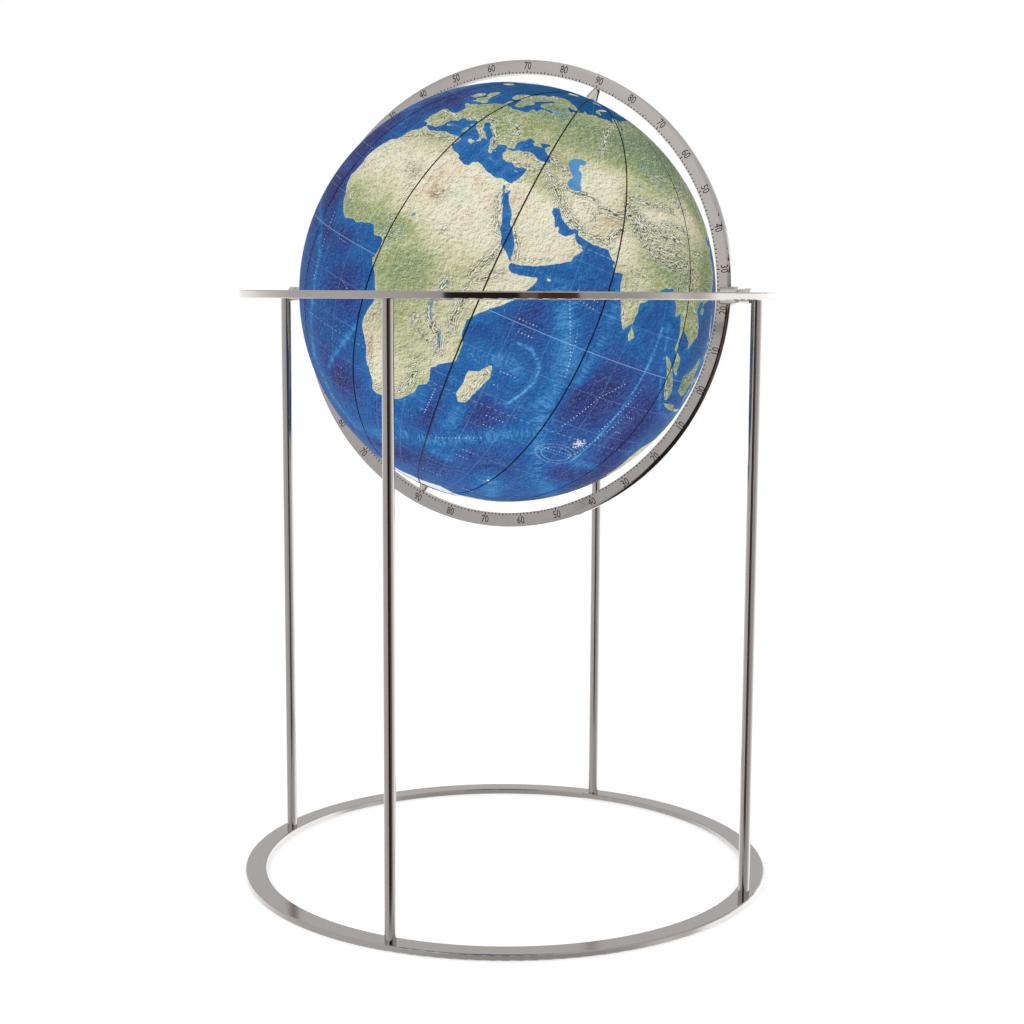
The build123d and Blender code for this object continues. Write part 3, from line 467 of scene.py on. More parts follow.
def map_fields(longitude, latitude):
    """Everything the map's colours need to know at each place."""
    places = on_globe(longitude, latitude)
    land, black_sea, lake = np.full((3, len(places)), -REACH)
    mainlands = (AFRICA, EURASIA, NORTH_AMERICA, SOUTH_AMERICA, ANTARCTICA, GREENLAND)
    for text in (*mainlands, *ISLANDS.split("\n\n")):
        shore_of(land, places, longitude, latitude, corners(text))
    for (width,), line in lines(ISLAND_LINES):
        land = np.maximum(land, width - to_line(places, line)[0])
    for (width,), line in lines(GULF_LINES):
        land = np.minimum(land, to_line(places, line)[0] - width)
    shore_of(black_sea, places, longitude, latitude, corners(BLACK_SEA))
    land = np.minimum(land, -black_sea)
    shore_of(lake, places, longitude, latitude, corners(CASPIAN))
    for (width,), line in lines(LAKE_LINES):
        lake = np.maximum(lake, width - to_line(places, line)[0])
    rock, fold, _ = ridge_field(places, RANGES)
    ridge, floor_fold, floor_run = ridge_field(places, SEA_RIDGES)
    shelf = np.exp(-((np.maximum(-land, 0) / 2.6) ** 1.4))
    basin = np.clip(blobs(longitude, latitude, SEA_BASINS), 0, 1)
    raised = np.maximum(0.36 * ridge, 0.19 * shelf)
    return {
        "land": land,
        "lake": lake,
        "rock": rock,
        "fold": fold,
        "floor": np.clip(0.51 + raised - 0.48 * basin * (1 - 0.8 * ridge), 0, 1),
        "crest": ridge,
        "floor_fold": floor_fold,
        "floor_run": floor_run,
        "dry": np.clip(blobs(longitude, latitude, CLIMATES), -1, 1),
        "rust": np.clip(blobs(longitude, latitude, RUSTY), 0, 1),
        "ice": np.clip(blobs(longitude, latitude, ICE), 0, 1),
        "lon": longitude,
        "lat": latitude,
    }


def ball_points(longitude, latitude, radius):
    """Places on the ball, in the row frame."""
    turned = on_globe(longitude - 90.0 - FRONT_LONGITUDE, latitude) * radius
    matrix = np.array(TO_POLE)
    return turned @ matrix[:3, :3].T + matrix[:3, 3]


def placed(name, data):
    """A new object in the scene, at the origin."""
    thing = bpy.data.objects.new(name, data)
    scene.collection.objects.link(thing)
    return thing


# ---------------------------------------------------------------- finishes
def srgb(red, green, blue):
    """A colour from its 0 to 255 values."""
    shares = [value / 255 for value in (red, green, blue)]
    return tuple(s / 12.92 if s <= 0.04045 else ((s + 0.055) / 1.055) ** 2.4 for s in shares) + (1.0,)


def grey(level):
    return (level, level, level, 1.0)


def dimmed(colour, share):
    return tuple(c * share for c in colour[:3]) + (1.0,)


def sums(operation, reflected=False):
    """A method that joins a wire with another wire or a number."""

    def joined(self, other):
        first, second = (other, self) if reflected else (self, other)
        return self.maker.node("ShaderNodeMath", {0: first, 1: second}, operation=operation)

    return joined


class Wire:
    """A value coming out of a node, with the sums that the finishes use."""

    def __init__(self, maker, socket):
        self.maker = maker
        self.socket = socket

    __add__ = __radd__ = sums("ADD")
    __sub__, __rsub__ = sums("SUBTRACT"), sums("SUBTRACT", reflected=True)
    __mul__ = __rmul__ = sums("MULTIPLY")
    __truediv__, __rtruediv__ = sums("DIVIDE"), sums("DIVIDE", reflected=True)
    power, least, most = sums("POWER"), sums("MINIMUM"), sums("MAXIMUM")

    def size(self):
        return self.maker.node("ShaderNodeMath", {0: self}, operation="ABSOLUTE")

    def wrap(self, low, high):
        return self.maker.node("ShaderNodeMath", {0: self, 1: high, 2: low}, operation="WRAP")

    def rise(self, low, high):
        """0 below low, 1 above high, and smooth between them."""
        sockets = {0: self, 1: low, 2: high}
        return self.maker.node("ShaderNodeMapRange", sockets, interpolation_type="SMOOTHSTEP")


class Maker:
    """Makes every node of a tree in one way."""

    def node(self, kind, sockets=None, out=0, **settings):
        """Any node: its settings first, then its sockets' values or links."""
        made = self.tree.nodes.new(kind)
        for name, value in settings.items():
            if name == "stops":
                self.set_stops(made.color_ramp, value)
            else:
                setattr(made, name, value)
        for key, value in (sockets or {}).items():
            if isinstance(value, Wire):
                self.tree.links.new(value.socket, made.inputs[key])
            else:
                made.inputs[key].default_value = value
        return Wire(self, made.outputs[out]) if made.outputs else None

    @staticmethod
    def set_stops(ramp, stops):
        while len(ramp.elements) < len(stops):
            ramp.elements.new(0.5)
        for element, (place, colour) in zip(ramp.elements, stops):
            element.position = place
            element.color = colour


class Finish(Maker):
    """A material being made, or the studio's own light when a world is given to hold it."""

    def __init__(self, name, holder=None):
        self.material = holder or bpy.data.materials.new(name)
        self.material.use_nodes = True
        self.tree = self.material.node_tree
        self.tree.nodes.clear()

    def attribute(self, name):
        return self.node("ShaderNodeAttribute", out="Fac", attribute_name=name)

    def place(self):
        return self.node("ShaderNodeTexCoord", out="Object")

    def noise(self, where, scale, detail=2.0, rough=0.5):
        sockets = {"Vector": where, "Scale": scale, "Detail": detail, "Roughness": rough}
        return self.node("ShaderNodeTexNoise", sockets)

    def vector(self, x, y, z):
        return self.node("ShaderNodeCombineXYZ", {0: x, 1: y, 2: z})

    def split(self, vector):
        made = self.node("ShaderNodeSeparateXYZ", {0: vector}).socket.node
        return [Wire(self, socket) for socket in made.outputs]

    def turn_of(self, x, y):
        return self.node("ShaderNodeMath", {0: y, 1: x}, operation="ARCTAN2")

    def blend(self, share, first, second):
        return self.node("ShaderNodeMix", {0: share, 6: first, 7: second}, out=2, data_type="RGBA")

    def printed(self, sheet, *layers):
        """Lays one tint after another over a sheet; each is (share, red, green, blue)."""
        for share, *tint in layers:
            sheet = self.blend(share, sheet, srgb(*tint))
        return sheet

    def ramp(self, value, stops):
        return self.node("ShaderNodeValToRGB", {0: value}, stops=stops)

    def bump(self, height, distance, strength):
        sockets = {"Height": height, "Distance": distance, "Strength": strength}
        return self.node("ShaderNodeBump", sockets)

    def end(self, shader, kind="ShaderNodeOutputMaterial"):
        self.node(kind, {"Surface": shader})
        return self.material

    def shade(self, **values):
        """Ends the finish in one shader; words of a socket's name are joined by underscores."""
        sockets = {name.replace("_", " "): value for name, value in values.items()}
        return self.end(self.node("ShaderNodeBsdfPrincipled", sockets))

    def glow(self, colour, strength=1.0):
        return self.node("ShaderNodeEmission", {"Color": colour, "Strength": strength})


def steel_ring(name, colour, rough, upright=False):
    """A ring's steel: hair lines that run along the ring, soft clouding and small handling marks."""
    finish = Finish(name)
    local = finish.node("ShaderNodeMapping", {"Vector": finish.place(), "Location": tuple(-CENTRE)})
    if upright:
        local = finish.node("ShaderNodeMapping", {"Vector": local, "Rotation": (-RING_LEAN, 0.0, 0.0)})
    x, y, z = finish.split(local)
    other, thick = (z, y) if upright else (y, z)
    radius = (x * x + other * other).power(0.5)
    turn = finish.turn_of(x, other)
    hair = finish.noise(finish.vector(radius * 2600, thick * 2600, turn * 6), 1.0, 3.0, 0.6)
    cloud = finish.noise(local, 9.0, 3.0, 0.5)
    mark = finish.noise(finish.vector(radius * 300, thick * 300, turn * 30), 1.0, 2.0, 0.5)
    tone = finish.blend(hair.rise(0.35, 0.7), dimmed(colour, 0.93), colour)
    return finish.shade(
        Base_Color=finish.blend(cloud.rise(0.35, 0.7) * 0.25, tone, dimmed(colour, 0.88)),
        Metallic=1.0,
        Roughness=rough + (hair - 0.5) * 0.10 + (cloud - 0.5) * 0.10 + mark.rise(0.62, 0.75) * 0.05,
        Normal=finish.bump(hair, 0.006 * MM, 0.4),
    )


def leg_steel(name, colour, rough):
    """Drawn rod: lines run up the leg."""
    finish = Finish(name)
    where = finish.place()
    stretched = finish.node("ShaderNodeMapping", {"Vector": where, "Scale": (1500.0, 1500.0, 12.0)})
    hair = finish.noise(stretched, 1.0, 3.0, 0.6)
    cloud = finish.noise(where, 14.0, 3.0, 0.5)
    return finish.shade(
        Base_Color=finish.blend(hair.rise(0.35, 0.7), dimmed(colour, 0.93), colour),
        Metallic=1.0,
        Roughness=rough + (hair - 0.5) * 0.08 + (cloud - 0.5) * 0.08,
        Normal=finish.bump(hair, 0.01 * MM, 0.5),
    )


def turned_steel(name, colour, rough):
    """Small turned or pressed steel: a faint grain and a cloudy sheen."""
    finish = Finish(name)
    where = finish.place()
    fine = finish.noise(where, 900.0)
    cloud = finish.noise(where, 30.0, 3.0, 0.5)
    return finish.shade(
        Base_Color=finish.blend(cloud.rise(0.3, 0.75), colour, dimmed(colour, 0.9)),
        Metallic=1.0,
        Roughness=rough + (fine - 0.5) * 0.08 + (cloud - 0.5) * 0.08,
        Normal=finish.bump(fine, 0.01 * MM, 0.4),
    )


def plain_grain(name, dark, light, rough, scale, depth):
    """Moulded, cast or printed stuff: two near tones in a fine grain."""
    finish = Finish(name)
    grain = finish.noise(finish.place(), scale, 4.0, 0.6)
    return finish.shade(
        Base_Color=finish.blend(grain.rise(0.3, 0.7), dark, light),
        Roughness=rough + (grain - 0.5) * 0.15,
        Normal=finish.bump(grain, depth, 0.5),
    )


def felt_finish():
    finish = Finish("grey_felt")
    where = finish.place()
    tuft = finish.noise(where, 1600.0, 5.0, 0.7)
    clump = finish.noise(where, 260.0, 3.0, 0.5)
    tone = finish.blend(tuft.rise(0.3, 0.7), srgb(52, 50, 48), srgb(92, 89, 85))
    return finish.shade(
        Base_Color=finish.printed(tone, (clump.rise(0.4, 0.7) * 0.4, 40, 38, 37)),
        Roughness=0.95,
        Normal=finish.bump(tuft + clump, 0.2 * MM, 0.8),
    )


# Tints from greenest to driest country, and from the deepest sea to the shallowest.
GROUND_TINTS = (
    (0.0, srgb(120, 145, 109)),
    (0.20, srgb(145, 165, 119)),
    (0.38, srgb(160, 173, 120)),
    (0.52, srgb(188, 193, 146)),
    (0.68, srgb(212, 211, 172)),
    (0.84, srgb(228, 221, 190)),
    (1.0, srgb(242, 235, 210)),
)
SEA_TINTS = (
    (0.0, srgb(50, 46, 102)),
    (0.24, srgb(52, 62, 126)),
    (0.46, srgb(44, 84, 152)),
    (0.66, srgb(36, 102, 168)),
    (0.84, srgb(58, 130, 192)),
    (1.0, srgb(100, 172, 216)),
)
OVAL_PLACE = (80.0, -30.0)
OVAL_HALF = (7.2, 3.4)
DEVICE_PLACE = (84.0, -24.5)
LIGHT_STEP = (-0.35 * MM, -0.1 * MM, 0.55 * MM)
TROPIC = 23.44
GRID_STEP = 10.0


def map_finish():
    """The printed paper under its varnish."""
    finish = Finish("printed_map")
    where = finish.place()
    lit_from = finish.node("ShaderNodeVectorMath", {0: where, 1: LIGHT_STEP}, operation="ADD")
    field = finish.attribute

    def embossed(scale, detail):
        """A noise lit from one side: above 0 on slopes that face the light, below it on the others."""
        return finish.noise(where, scale, detail, 0.72) - finish.noise(lit_from, scale, detail, 0.72)

    def drawn(angle, half=0.13):
        """A thin line where an angle is 0."""
        return 1 - (angle.size() / half).rise(0.55, 1.0)

    broad = finish.noise(where, 38.0, 6.0, 0.6)
    patch = finish.noise(where, 120.0, 5.0, 0.65)
    wander = finish.noise(where, 75.0, 3.0, 0.55)
    bays = finish.noise(where, 200.0, 6.0, 0.65)
    inlets = finish.noise(where, 620.0, 4.0, 0.6)
    ragged = (bays - 0.5) * 0.85 + (inlets - 0.5) * 0.45
    coast = field("land") + ragged
    on_land = coast.rise(-0.05, 0.06)
    in_lake = (field("lake") + ragged * 0.5).rise(-0.04, 0.06)

    # Land: green to cream by climate, then relief, with fine folds that follow each range.
    dry, rock = field("dry"), field("rock")
    climate = dry + (broad - 0.5) * 1.4 + (patch - 0.5) * 1.0
    hill = embossed(230.0, 7.0)
    crease = field("fold") * 1.9 + wander * 4.2 + (bays - 0.5) * 2.2
    broken = patch.rise(0.36, 0.52)
    valley = (1 - crease.wrap(-0.5, 0.5).size().rise(0.07, 0.26)) * broken
    spur = (1 - (crease + 0.42).wrap(-0.5, 0.5).size().rise(0.10, 0.32)) * broken
    roughland = ((rock - 0.14) * 1.5 + (broad - 0.5) * 1.1).least(1.0).most(0.0)
    relief = hill * (1.5 + roughland * 1.2)
    sandy = dry.rise(0.25, 0.9)
    snow = (field("ice") + (patch - 0.5) * 0.5 + hill).rise(0.35, 0.6)
    snow_tone = finish.printed(srgb(240, 242, 244), ((0.0 - hill).rise(0.0, 0.1) * 0.6, 168, 188, 204))
    lake_tone = finish.blend(patch.rise(0.3, 0.7), srgb(84, 142, 200), srgb(100, 162, 214))
    ground = finish.printed(
        finish.ramp(climate * 0.5 + 0.5, GROUND_TINTS),
        (field("rust") * patch.rise(0.34, 0.66), 196, 148, 116),
        (sandy * (0.5 - wander).rise(0.0, 0.16) * 0.3, 220, 184, 150),
        (sandy * (broad - 0.5).rise(-0.04, 0.14) * 0.6, 214, 224, 190),
        (roughland * 0.36, 172, 176, 144),
        (rock.rise(0.8, 1.25) * 0.45, 112, 124, 100),
        ((0.0 - relief).rise(0.01, 0.15) * (0.62 + roughland * 0.3), 74, 72, 46),
        (relief.rise(0.01, 0.14) * (0.46 + (sandy + roughland) * 0.24), 255, 253, 236),
        (spur * roughland * 0.55, 250, 250, 228),
        (valley * roughland * 0.85, 44, 48, 32),
    )
    ground = finish.blend(snow, ground, snow_tone)
    ground = finish.printed(ground, (on_land * (1 - coast.rise(0.05, 0.30)) * 0.30, 246, 240, 208))
    ground = finish.blend(in_lake, ground, lake_tone)

    # Sea: depth tints, then the floor's hatching across and along its ridges.
    swell = finish.noise(where, 24.0, 5.0, 0.6)
    crest, fold, run = field("crest"), field("floor_fold"), field("floor_run")
    depth = field("floor") + (swell - 0.5) * 0.5 + (patch - 0.5) * 0.36
    stroke = finish.noise(finish.vector(run * 2.6 + wander, fold * 0.4, broad * 1.2), 1.0, 2.0, 0.55)
    cross = finish.noise(finish.vector(fold * 2.4 + wander * 2.0, run * 0.5, broad * 1.2), 1.0, 2.0, 0.55)
    swash = embossed(360.0, 6.0)
    near_ridge = (crest + (patch - 0.5) * 1.4).rise(0.25, 0.9)
    spine = 1 - (fold + (bays - 0.5) * 1.6).size().rise(0.05, 0.28)

    # The thin graticule is drawn on the sea only, with a stronger equator and dashed tropics.
    lon, lat = field("lon"), field("lat")
    squeeze = finish.node("ShaderNodeMath", {0: lat * math.radians(1)}, operation="COSINE").most(0.12)
    meridians = drawn(lon.wrap(-GRID_STEP / 2, GRID_STEP / 2) * squeeze)
    parallels = drawn(lat.wrap(-GRID_STEP / 2, GRID_STEP / 2))
    dashes = (lon.wrap(0.0, 2.0) - 0.9).rise(-0.05, 0.05)
    tropics = drawn(lat.size() - TROPIC, 0.14) * dashes

    # A plain double oval and a small pale device, printed on the open sea.
    x, y = (lon - OVAL_PLACE[0]) / OVAL_HALF[0], (lat - OVAL_PLACE[1]) / OVAL_HALF[1]
    oval = (x * x + y * y).power(0.5)
    rims = (1 - (oval - 1.0).size().rise(0.02, 0.06)).most(1 - (oval - 0.72).size().rise(0.02, 0.06))
    x, y = (lon - DEVICE_PLACE[0]) * 0.55, (lat - DEVICE_PLACE[1]) * 0.7
    device = (x * x + y * y).power(0.5) + (inlets - 0.5) * 5.0
    water = finish.printed(
        finish.ramp(depth, SEA_TINTS),
        (stroke.rise(0.53, 0.62) * (0.08 + near_ridge * 0.30), 106, 168, 220),
        (cross.rise(0.58, 0.70) * 0.22, 84, 142, 204),
        ((0.5 - stroke).rise(0.03, 0.11) * (0.2 + near_ridge * 0.3), 30, 42, 108),
        ((0.5 - cross).rise(0.05, 0.15) * 0.24, 32, 46, 112),
        (swash.rise(0.02, 0.15) * 0.42, 112, 170, 224),
        ((0.0 - swash).rise(0.02, 0.15) * 0.46, 24, 40, 104),
        (spine * crest.rise(0.8, 1.0) * patch.rise(0.36, 0.54) * 0.7, 126, 192, 230),
        ((lat - 50.0).rise(0.0, 16.0) * 0.84, 4, 84, 136),
        (meridians.most(parallels) * 0.20, 140, 182, 226),
        (drawn(lat).most(tropics) * 0.34, 176, 206, 238),
        (rims * inlets.rise(0.38, 0.52) * 0.5, 150, 178, 214),
        ((1 - device.rise(0.55, 0.9)) * 0.85, 226, 230, 226),
    )

    # A dark line painted along each gore's edge stands for the shade in the seam gap between the gores, and
    # shows as a fine line round the ball.
    sheet = finish.blend(on_land, water, ground)
    sheet = finish.printed(sheet, (1 - field("edge").rise(0.16, 0.22), 8, 8, 9))
    grain = finish.noise(where, 1100.0, 3.0, 0.6)
    return finish.shade(
        Base_Color=sheet,
        Roughness=0.55 + (grain - 0.5) * 0.12,
        Normal=finish.bump(grain * 0.3 + on_land * 0.5, 0.02 * MM, 0.25),
        Specular_IOR_Level=0.03,
    )


# ---------------------------------------------------------------- the map sheets
ROWS = 360
COLUMNS = 60
INNER_COLUMNS = 6


def gore_mesh(number):
    """One printed gore as a thin closed sheet, with the map's facts on every corner of it."""
    west = FIRST_SEAM + GORE_WIDTH * (number - 1)
    top = 90.0 - math.degrees(POLE_HOLE / BALL_RADIUS)
    latitudes = np.linspace(-top, top, ROWS + 1)
    gap = np.degrees(SEAM_GAP / 2 / (BALL_RADIUS * np.cos(np.radians(latitudes))))
    half = GORE_WIDTH / 2 - np.minimum(gap, GORE_WIDTH / 2 - 1)

    def grid(columns, radius):
        lon = west + GORE_WIDTH / 2 + half[:, None] * np.linspace(-1, 1, columns + 1)[None, :]
        lat = np.repeat(latitudes[:, None], columns + 1, 1)
        return lon.ravel(), lat.ravel(), ball_points(lon.ravel(), lat.ravel(), radius)

    outer_lon, outer_lat, outer = grid(COLUMNS, BALL_RADIUS)
    inner_lon, inner_lat, inner = grid(INNER_COLUMNS, BALL_RADIUS - PAPER)

    def at(row, column):
        return row * (COLUMNS + 1) + column

    def under(row, column):
        return len(outer) + row * (INNER_COLUMNS + 1) + column

    faces = []
    last, deep = COLUMNS, INNER_COLUMNS
    for row in range(ROWS):
        up = row + 1
        for column in range(COLUMNS):
            faces.append((at(row, column), at(row, column + 1), at(up, column + 1), at(up, column)))
        for column in range(INNER_COLUMNS):
            beside = column + 1
            faces.append((under(row, column), under(up, column), under(up, beside), under(row, beside)))
        faces.append((at(row, 0), at(up, 0), under(up, 0), under(row, 0)))
        faces.append((at(row, last), under(row, deep), under(up, deep), at(up, last)))
    step = COLUMNS // INNER_COLUMNS
    for column in range(INNER_COLUMNS):
        run = list(range(column * step, (column + 1) * step + 1))
        faces.append([at(0, c) for c in reversed(run)] + [under(0, column), under(0, column + 1)])
        faces.append([at(ROWS, c) for c in run] + [under(ROWS, column + 1), under(ROWS, column)])

    name = "map_sheet_%02d" % number
    mesh = bpy.data.meshes.new(name)
    mesh.from_pydata(np.concatenate([outer, inner]).tolist(), [], faces)
    lon = np.concatenate([outer_lon, inner_lon])
    lat = np.concatenate([outer_lat, inner_lat])
    fields = map_fields((lon + 180) % 360 - 180, lat)
    # How far each corner is from its gore's seams, which places the painted seam shade.
    fields["edge"] = np.minimum(lon - west, west + GORE_WIDTH - lon) * np.cos(np.radians(lat))
    for key, values in fields.items():
        layer = mesh.attributes.new(key, "FLOAT", "POINT")
        layer.data.foreach_set("value", values.astype(np.float32))
    mesh.polygons.foreach_set("use_smooth", [True] * len(mesh.polygons))
    mesh.validate()
    mesh.update()
    return placed(name, mesh)


# ---------------------------------------------------------------- the stand's finishes on the CAD pieces
WARM_STEEL = srgb(196, 190, 186)
NYLON_TONES = srgb(205, 203, 198), srgb(228, 227, 222)
ACRYLIC_TONES = srgb(20, 20, 22), srgb(30, 30, 33)
finishes = {
    "horizon": steel_ring("horizon_ring_steel", WARM_STEEL, 0.09),
    "base": steel_ring("base_ring_steel", WARM_STEEL, 0.13),
    "meridian": steel_ring("meridian_ring_steel", srgb(200, 194, 190), 0.13, upright=True),
    "leg": leg_steel("leg_rod_steel", WARM_STEEL, 0.11),
    "polished": turned_steel("polished_steel", srgb(226, 222, 218), 0.14),
    "hardware": turned_steel("hardware_steel", srgb(120, 116, 112), 0.30),
    "dark_screw": turned_steel("blackened_screw_steel", srgb(58, 56, 55), 0.35),
    "nylon": plain_grain("white_nylon", *NYLON_TONES, 0.45, 500.0, 0.02 * MM),
    "acrylic": plain_grain("dark_acrylic", *ACRYLIC_TONES, 0.35, 300.0, 0.02 * MM),
    "felt": felt_finish(),
    "map": map_finish(),
}
# A CAD node takes the finish of the first of these words that its name holds.
FINISH_WORDS = (
    ("horizon_ring", "horizon"),
    ("base_ring", "base"),
    ("meridian_ring", "meridian"),
    ("leg_base", "hardware"),
    ("leg_top", "hardware"),
    ("leg_", "leg"),
    ("cone_screw", "dark_screw"),
    ("screw", "hardware"),
    ("pin", "hardware"),
    ("washer", "nylon"),
    ("bush", "nylon"),
    ("pole_cone", "polished"),
    ("pivot_b", "polished"),
    ("south_polar", "polished"),
    ("ball_", "acrylic"),
    ("shell_", "acrylic"),
    ("felt_glides", "felt"),
    ("map_gore", "map"),
)
for node_name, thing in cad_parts.items():
    finish_name = next(name for word, name in FINISH_WORDS if word in node_name)
    thing.data.materials.clear()
    thing.data.materials.append(finishes[finish_name])

for number in range(1, GORES + 1):
    sheet = gore_mesh(number)
    sheet.data.materials.append(finishes["map"])
    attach(sheet, "ball")
    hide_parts("map_gore_%02d" % number)


def plain_mesh(thing, name):
    """The evaluated object as a plain mesh object at the origin."""
    bpy.context.view_layer.update()
    depsgraph = bpy.context.evaluated_depsgraph_get()
    mesh = bpy.data.meshes.new_from_object(thing.evaluated_get(depsgraph), depsgraph=depsgraph)
    bpy.data.objects.remove(thing)
    mesh.name = name
    return placed(name, mesh)


class Grower(Maker):
    """A geometry tree with named inputs, each given as its socket type and value."""

    def __init__(self, name, **inputs):
        self.name = name
        self.inputs = {label.replace("_", " "): given for label, given in inputs.items()}
        self.tree = bpy.data.node_groups.new(name, "GeometryNodeTree")
        add = self.tree.interface.new_socket
        add("Geometry", in_out="INPUT", socket_type="NodeSocketGeometry")
        add("Geometry", in_out="OUTPUT", socket_type="NodeSocketGeometry")
        for label, (kind, _) in self.inputs.items():
            add(label, in_out="INPUT", socket_type="NodeSocket" + kind)
        outputs = self.node("NodeGroupInput").socket.node.outputs
        self.given = {label: Wire(self, outputs[label]) for label in ("Geometry", *self.inputs)}

    def scatter(self, points, piece, base=None, more=None, **facing):
        """Stands a piece on every point, facing out from the middle, and returns the plain mesh."""
        out = self.node("GeometryNodeInputPosition")
        turn = self.node("FunctionNodeAlignRotationToVector", {"Vector": out}, **facing)
        stand = {"Points": points, "Instance": piece, "Rotation": turn, **(more or {})}
        stood = self.node("GeometryNodeInstanceOnPoints", stand)
        real = self.node("GeometryNodeRealizeInstances", {0: stood})
        paint = {"Geometry": real, "Material": self.given["Material"]}
        self.node("NodeGroupOutput", {0: self.node("GeometryNodeSetMaterial", paint)})
        thing = placed(self.name + "_source", base or bpy.data.meshes.new(self.name))
        modifier = thing.modifiers.new("grow", "NODES")
        modifier.node_group = self.tree
        for item in self.tree.interface.items_tree:
            if item.in_out == "INPUT" and item.name in self.inputs:
                modifier[item.identifier] = self.inputs[item.name][1]
        return plain_mesh(thing, self.name)


# ---------------------------------------------------------------- the specks on the seas
SPECK_STEP = 0.95
SPECK_RADIUS = 0.6 * MM
SPECK_PROUD = 0.03 * MM
SPECK_DEEP = 0.1 * MM
SPECK_SEED = 7


def speck_places():
    """Where every speck stands, from the middle of the ball."""
    found = []
    for row in SPECK_ROWS.split(";"):
        line = corners(row)
        for (lon, lat), (next_lon, next_lat) in zip(line, line[1:]):
            wide = (next_lon - lon) * math.cos(math.radians((lat + next_lat) / 2))
            count = max(2, round(math.hypot(wide, next_lat - lat) / SPECK_STEP))
            shares = np.arange(count) / count
            found.append(np.stack([lon + (next_lon - lon) * shares, lat + (next_lat - lat) * shares], 1))
    spots = np.concatenate(found)
    middle = BALL_RADIUS + SPECK_PROUD - SPECK_DEEP / 2
    return ball_points(spots[:, 0], spots[:, 1], middle) - np.array(CENTRE)


def sea_specks(finish):
    """Small six-sided discs of different sizes."""
    grower = Grower(
        "sea_specks",
        Radius=("Float", SPECK_RADIUS),
        Depth=("Float", SPECK_DEEP),
        Smallest=("Float", 0.6),
        Seed=("Int", SPECK_SEED),
        Material=("Material", finish),
    )
    given = grower.given
    disc = {"Vertices": 6, "Radius": given["Radius"], "Depth": given["Depth"]}
    chance = {2: given["Smallest"], "Seed": given["Seed"]}
    size = grower.node("FunctionNodeRandomValue", chance, out=1, data_type="FLOAT")
    base = bpy.data.meshes.new("speck_places")
    base.from_pydata(speck_places().tolist(), [], [])
    piece = grower.node("GeometryNodeMeshCylinder", disc)
    specks = grower.scatter(given["Geometry"], piece, base, {"Scale": size}, axis="Z")
    specks.data.transform(Matrix.Translation(CENTRE))
    return specks


SPECK_TONES = srgb(186, 208, 228), srgb(232, 240, 246)
specks = sea_specks(plain_grain("speck_print", *SPECK_TONES, 0.5, 900.0, 0.01 * MM))
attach(specks, "ball")

# ---------------------------------------------------------------- the scale engraved on the meridian ring
RING_FACE = -3.5 * MM
RING_INSIDE = 210.8 * MM
NUMBER_RADIUS = 218.2 * MM
NUMBER_HEIGHT = 6.9 * MM
NUMBER_NARROW = 0.80
CAPITAL_SHARE = 0.70
MARK_PROUD = 0.015 * MM
MARK_DEEP = 0.08 * MM
POLE_ON_RING = 90.0 - math.degrees(AXIS_TILT)


def ring_of_bars(name, count, inner, length, width, finish):
    """Short bars standing round a circle in the local XY plane, each pointing outwards."""
    grower = Grower(
        name,
        Count=("Int", count),
        Middle_Radius=("Float", inner + length / 2),
        Length=("Float", length),
        Width=("Float", width),
        Depth=("Float", MARK_DEEP + MARK_PROUD),
        Material=("Material", finish),
    )
    given = grower.given
    size = grower.node("ShaderNodeCombineXYZ", {0: given["Length"], 1: given["Width"], 2: given["Depth"]})
    ring = {"Vertices": given["Count"], "Radius": given["Middle Radius"]}
    circle = grower.node("GeometryNodeMeshCircle", ring)
    bar = grower.node("GeometryNodeMeshCube", {"Size": size})
    return grower.scatter(circle, bar, axis="X", pivot_axis="Z")


# A flat local frame whose Z faces forwards from the ring, and whose X points at the north pole's pin.
TO_FACE = (
    TO_RING
    @ Matrix.Rotation(math.radians(90), 4, "X")
    @ Matrix.Translation((0, 0, -RING_FACE + (MARK_PROUD - MARK_DEEP) / 2))
    @ Matrix.Rotation(math.radians(POLE_ON_RING), 4, "Z")
)
ink = turned_steel("engraving_ink", srgb(44, 36, 32), 0.6)
for name, count, start, length, width in (
    ("scale_ticks_each", 360, 0.5, 1.3, 0.95),
    ("scale_ticks_fives", 72, 1.8, 0.9, 0.8),
    ("scale_ticks_tens", 36, 2.7, 0.6, 0.8),
):
    ticks = ring_of_bars(name, count, RING_INSIDE + start * MM, length * MM, width * MM, ink)
    ticks.data.transform(TO_FACE)
    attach(ticks, "meridian")


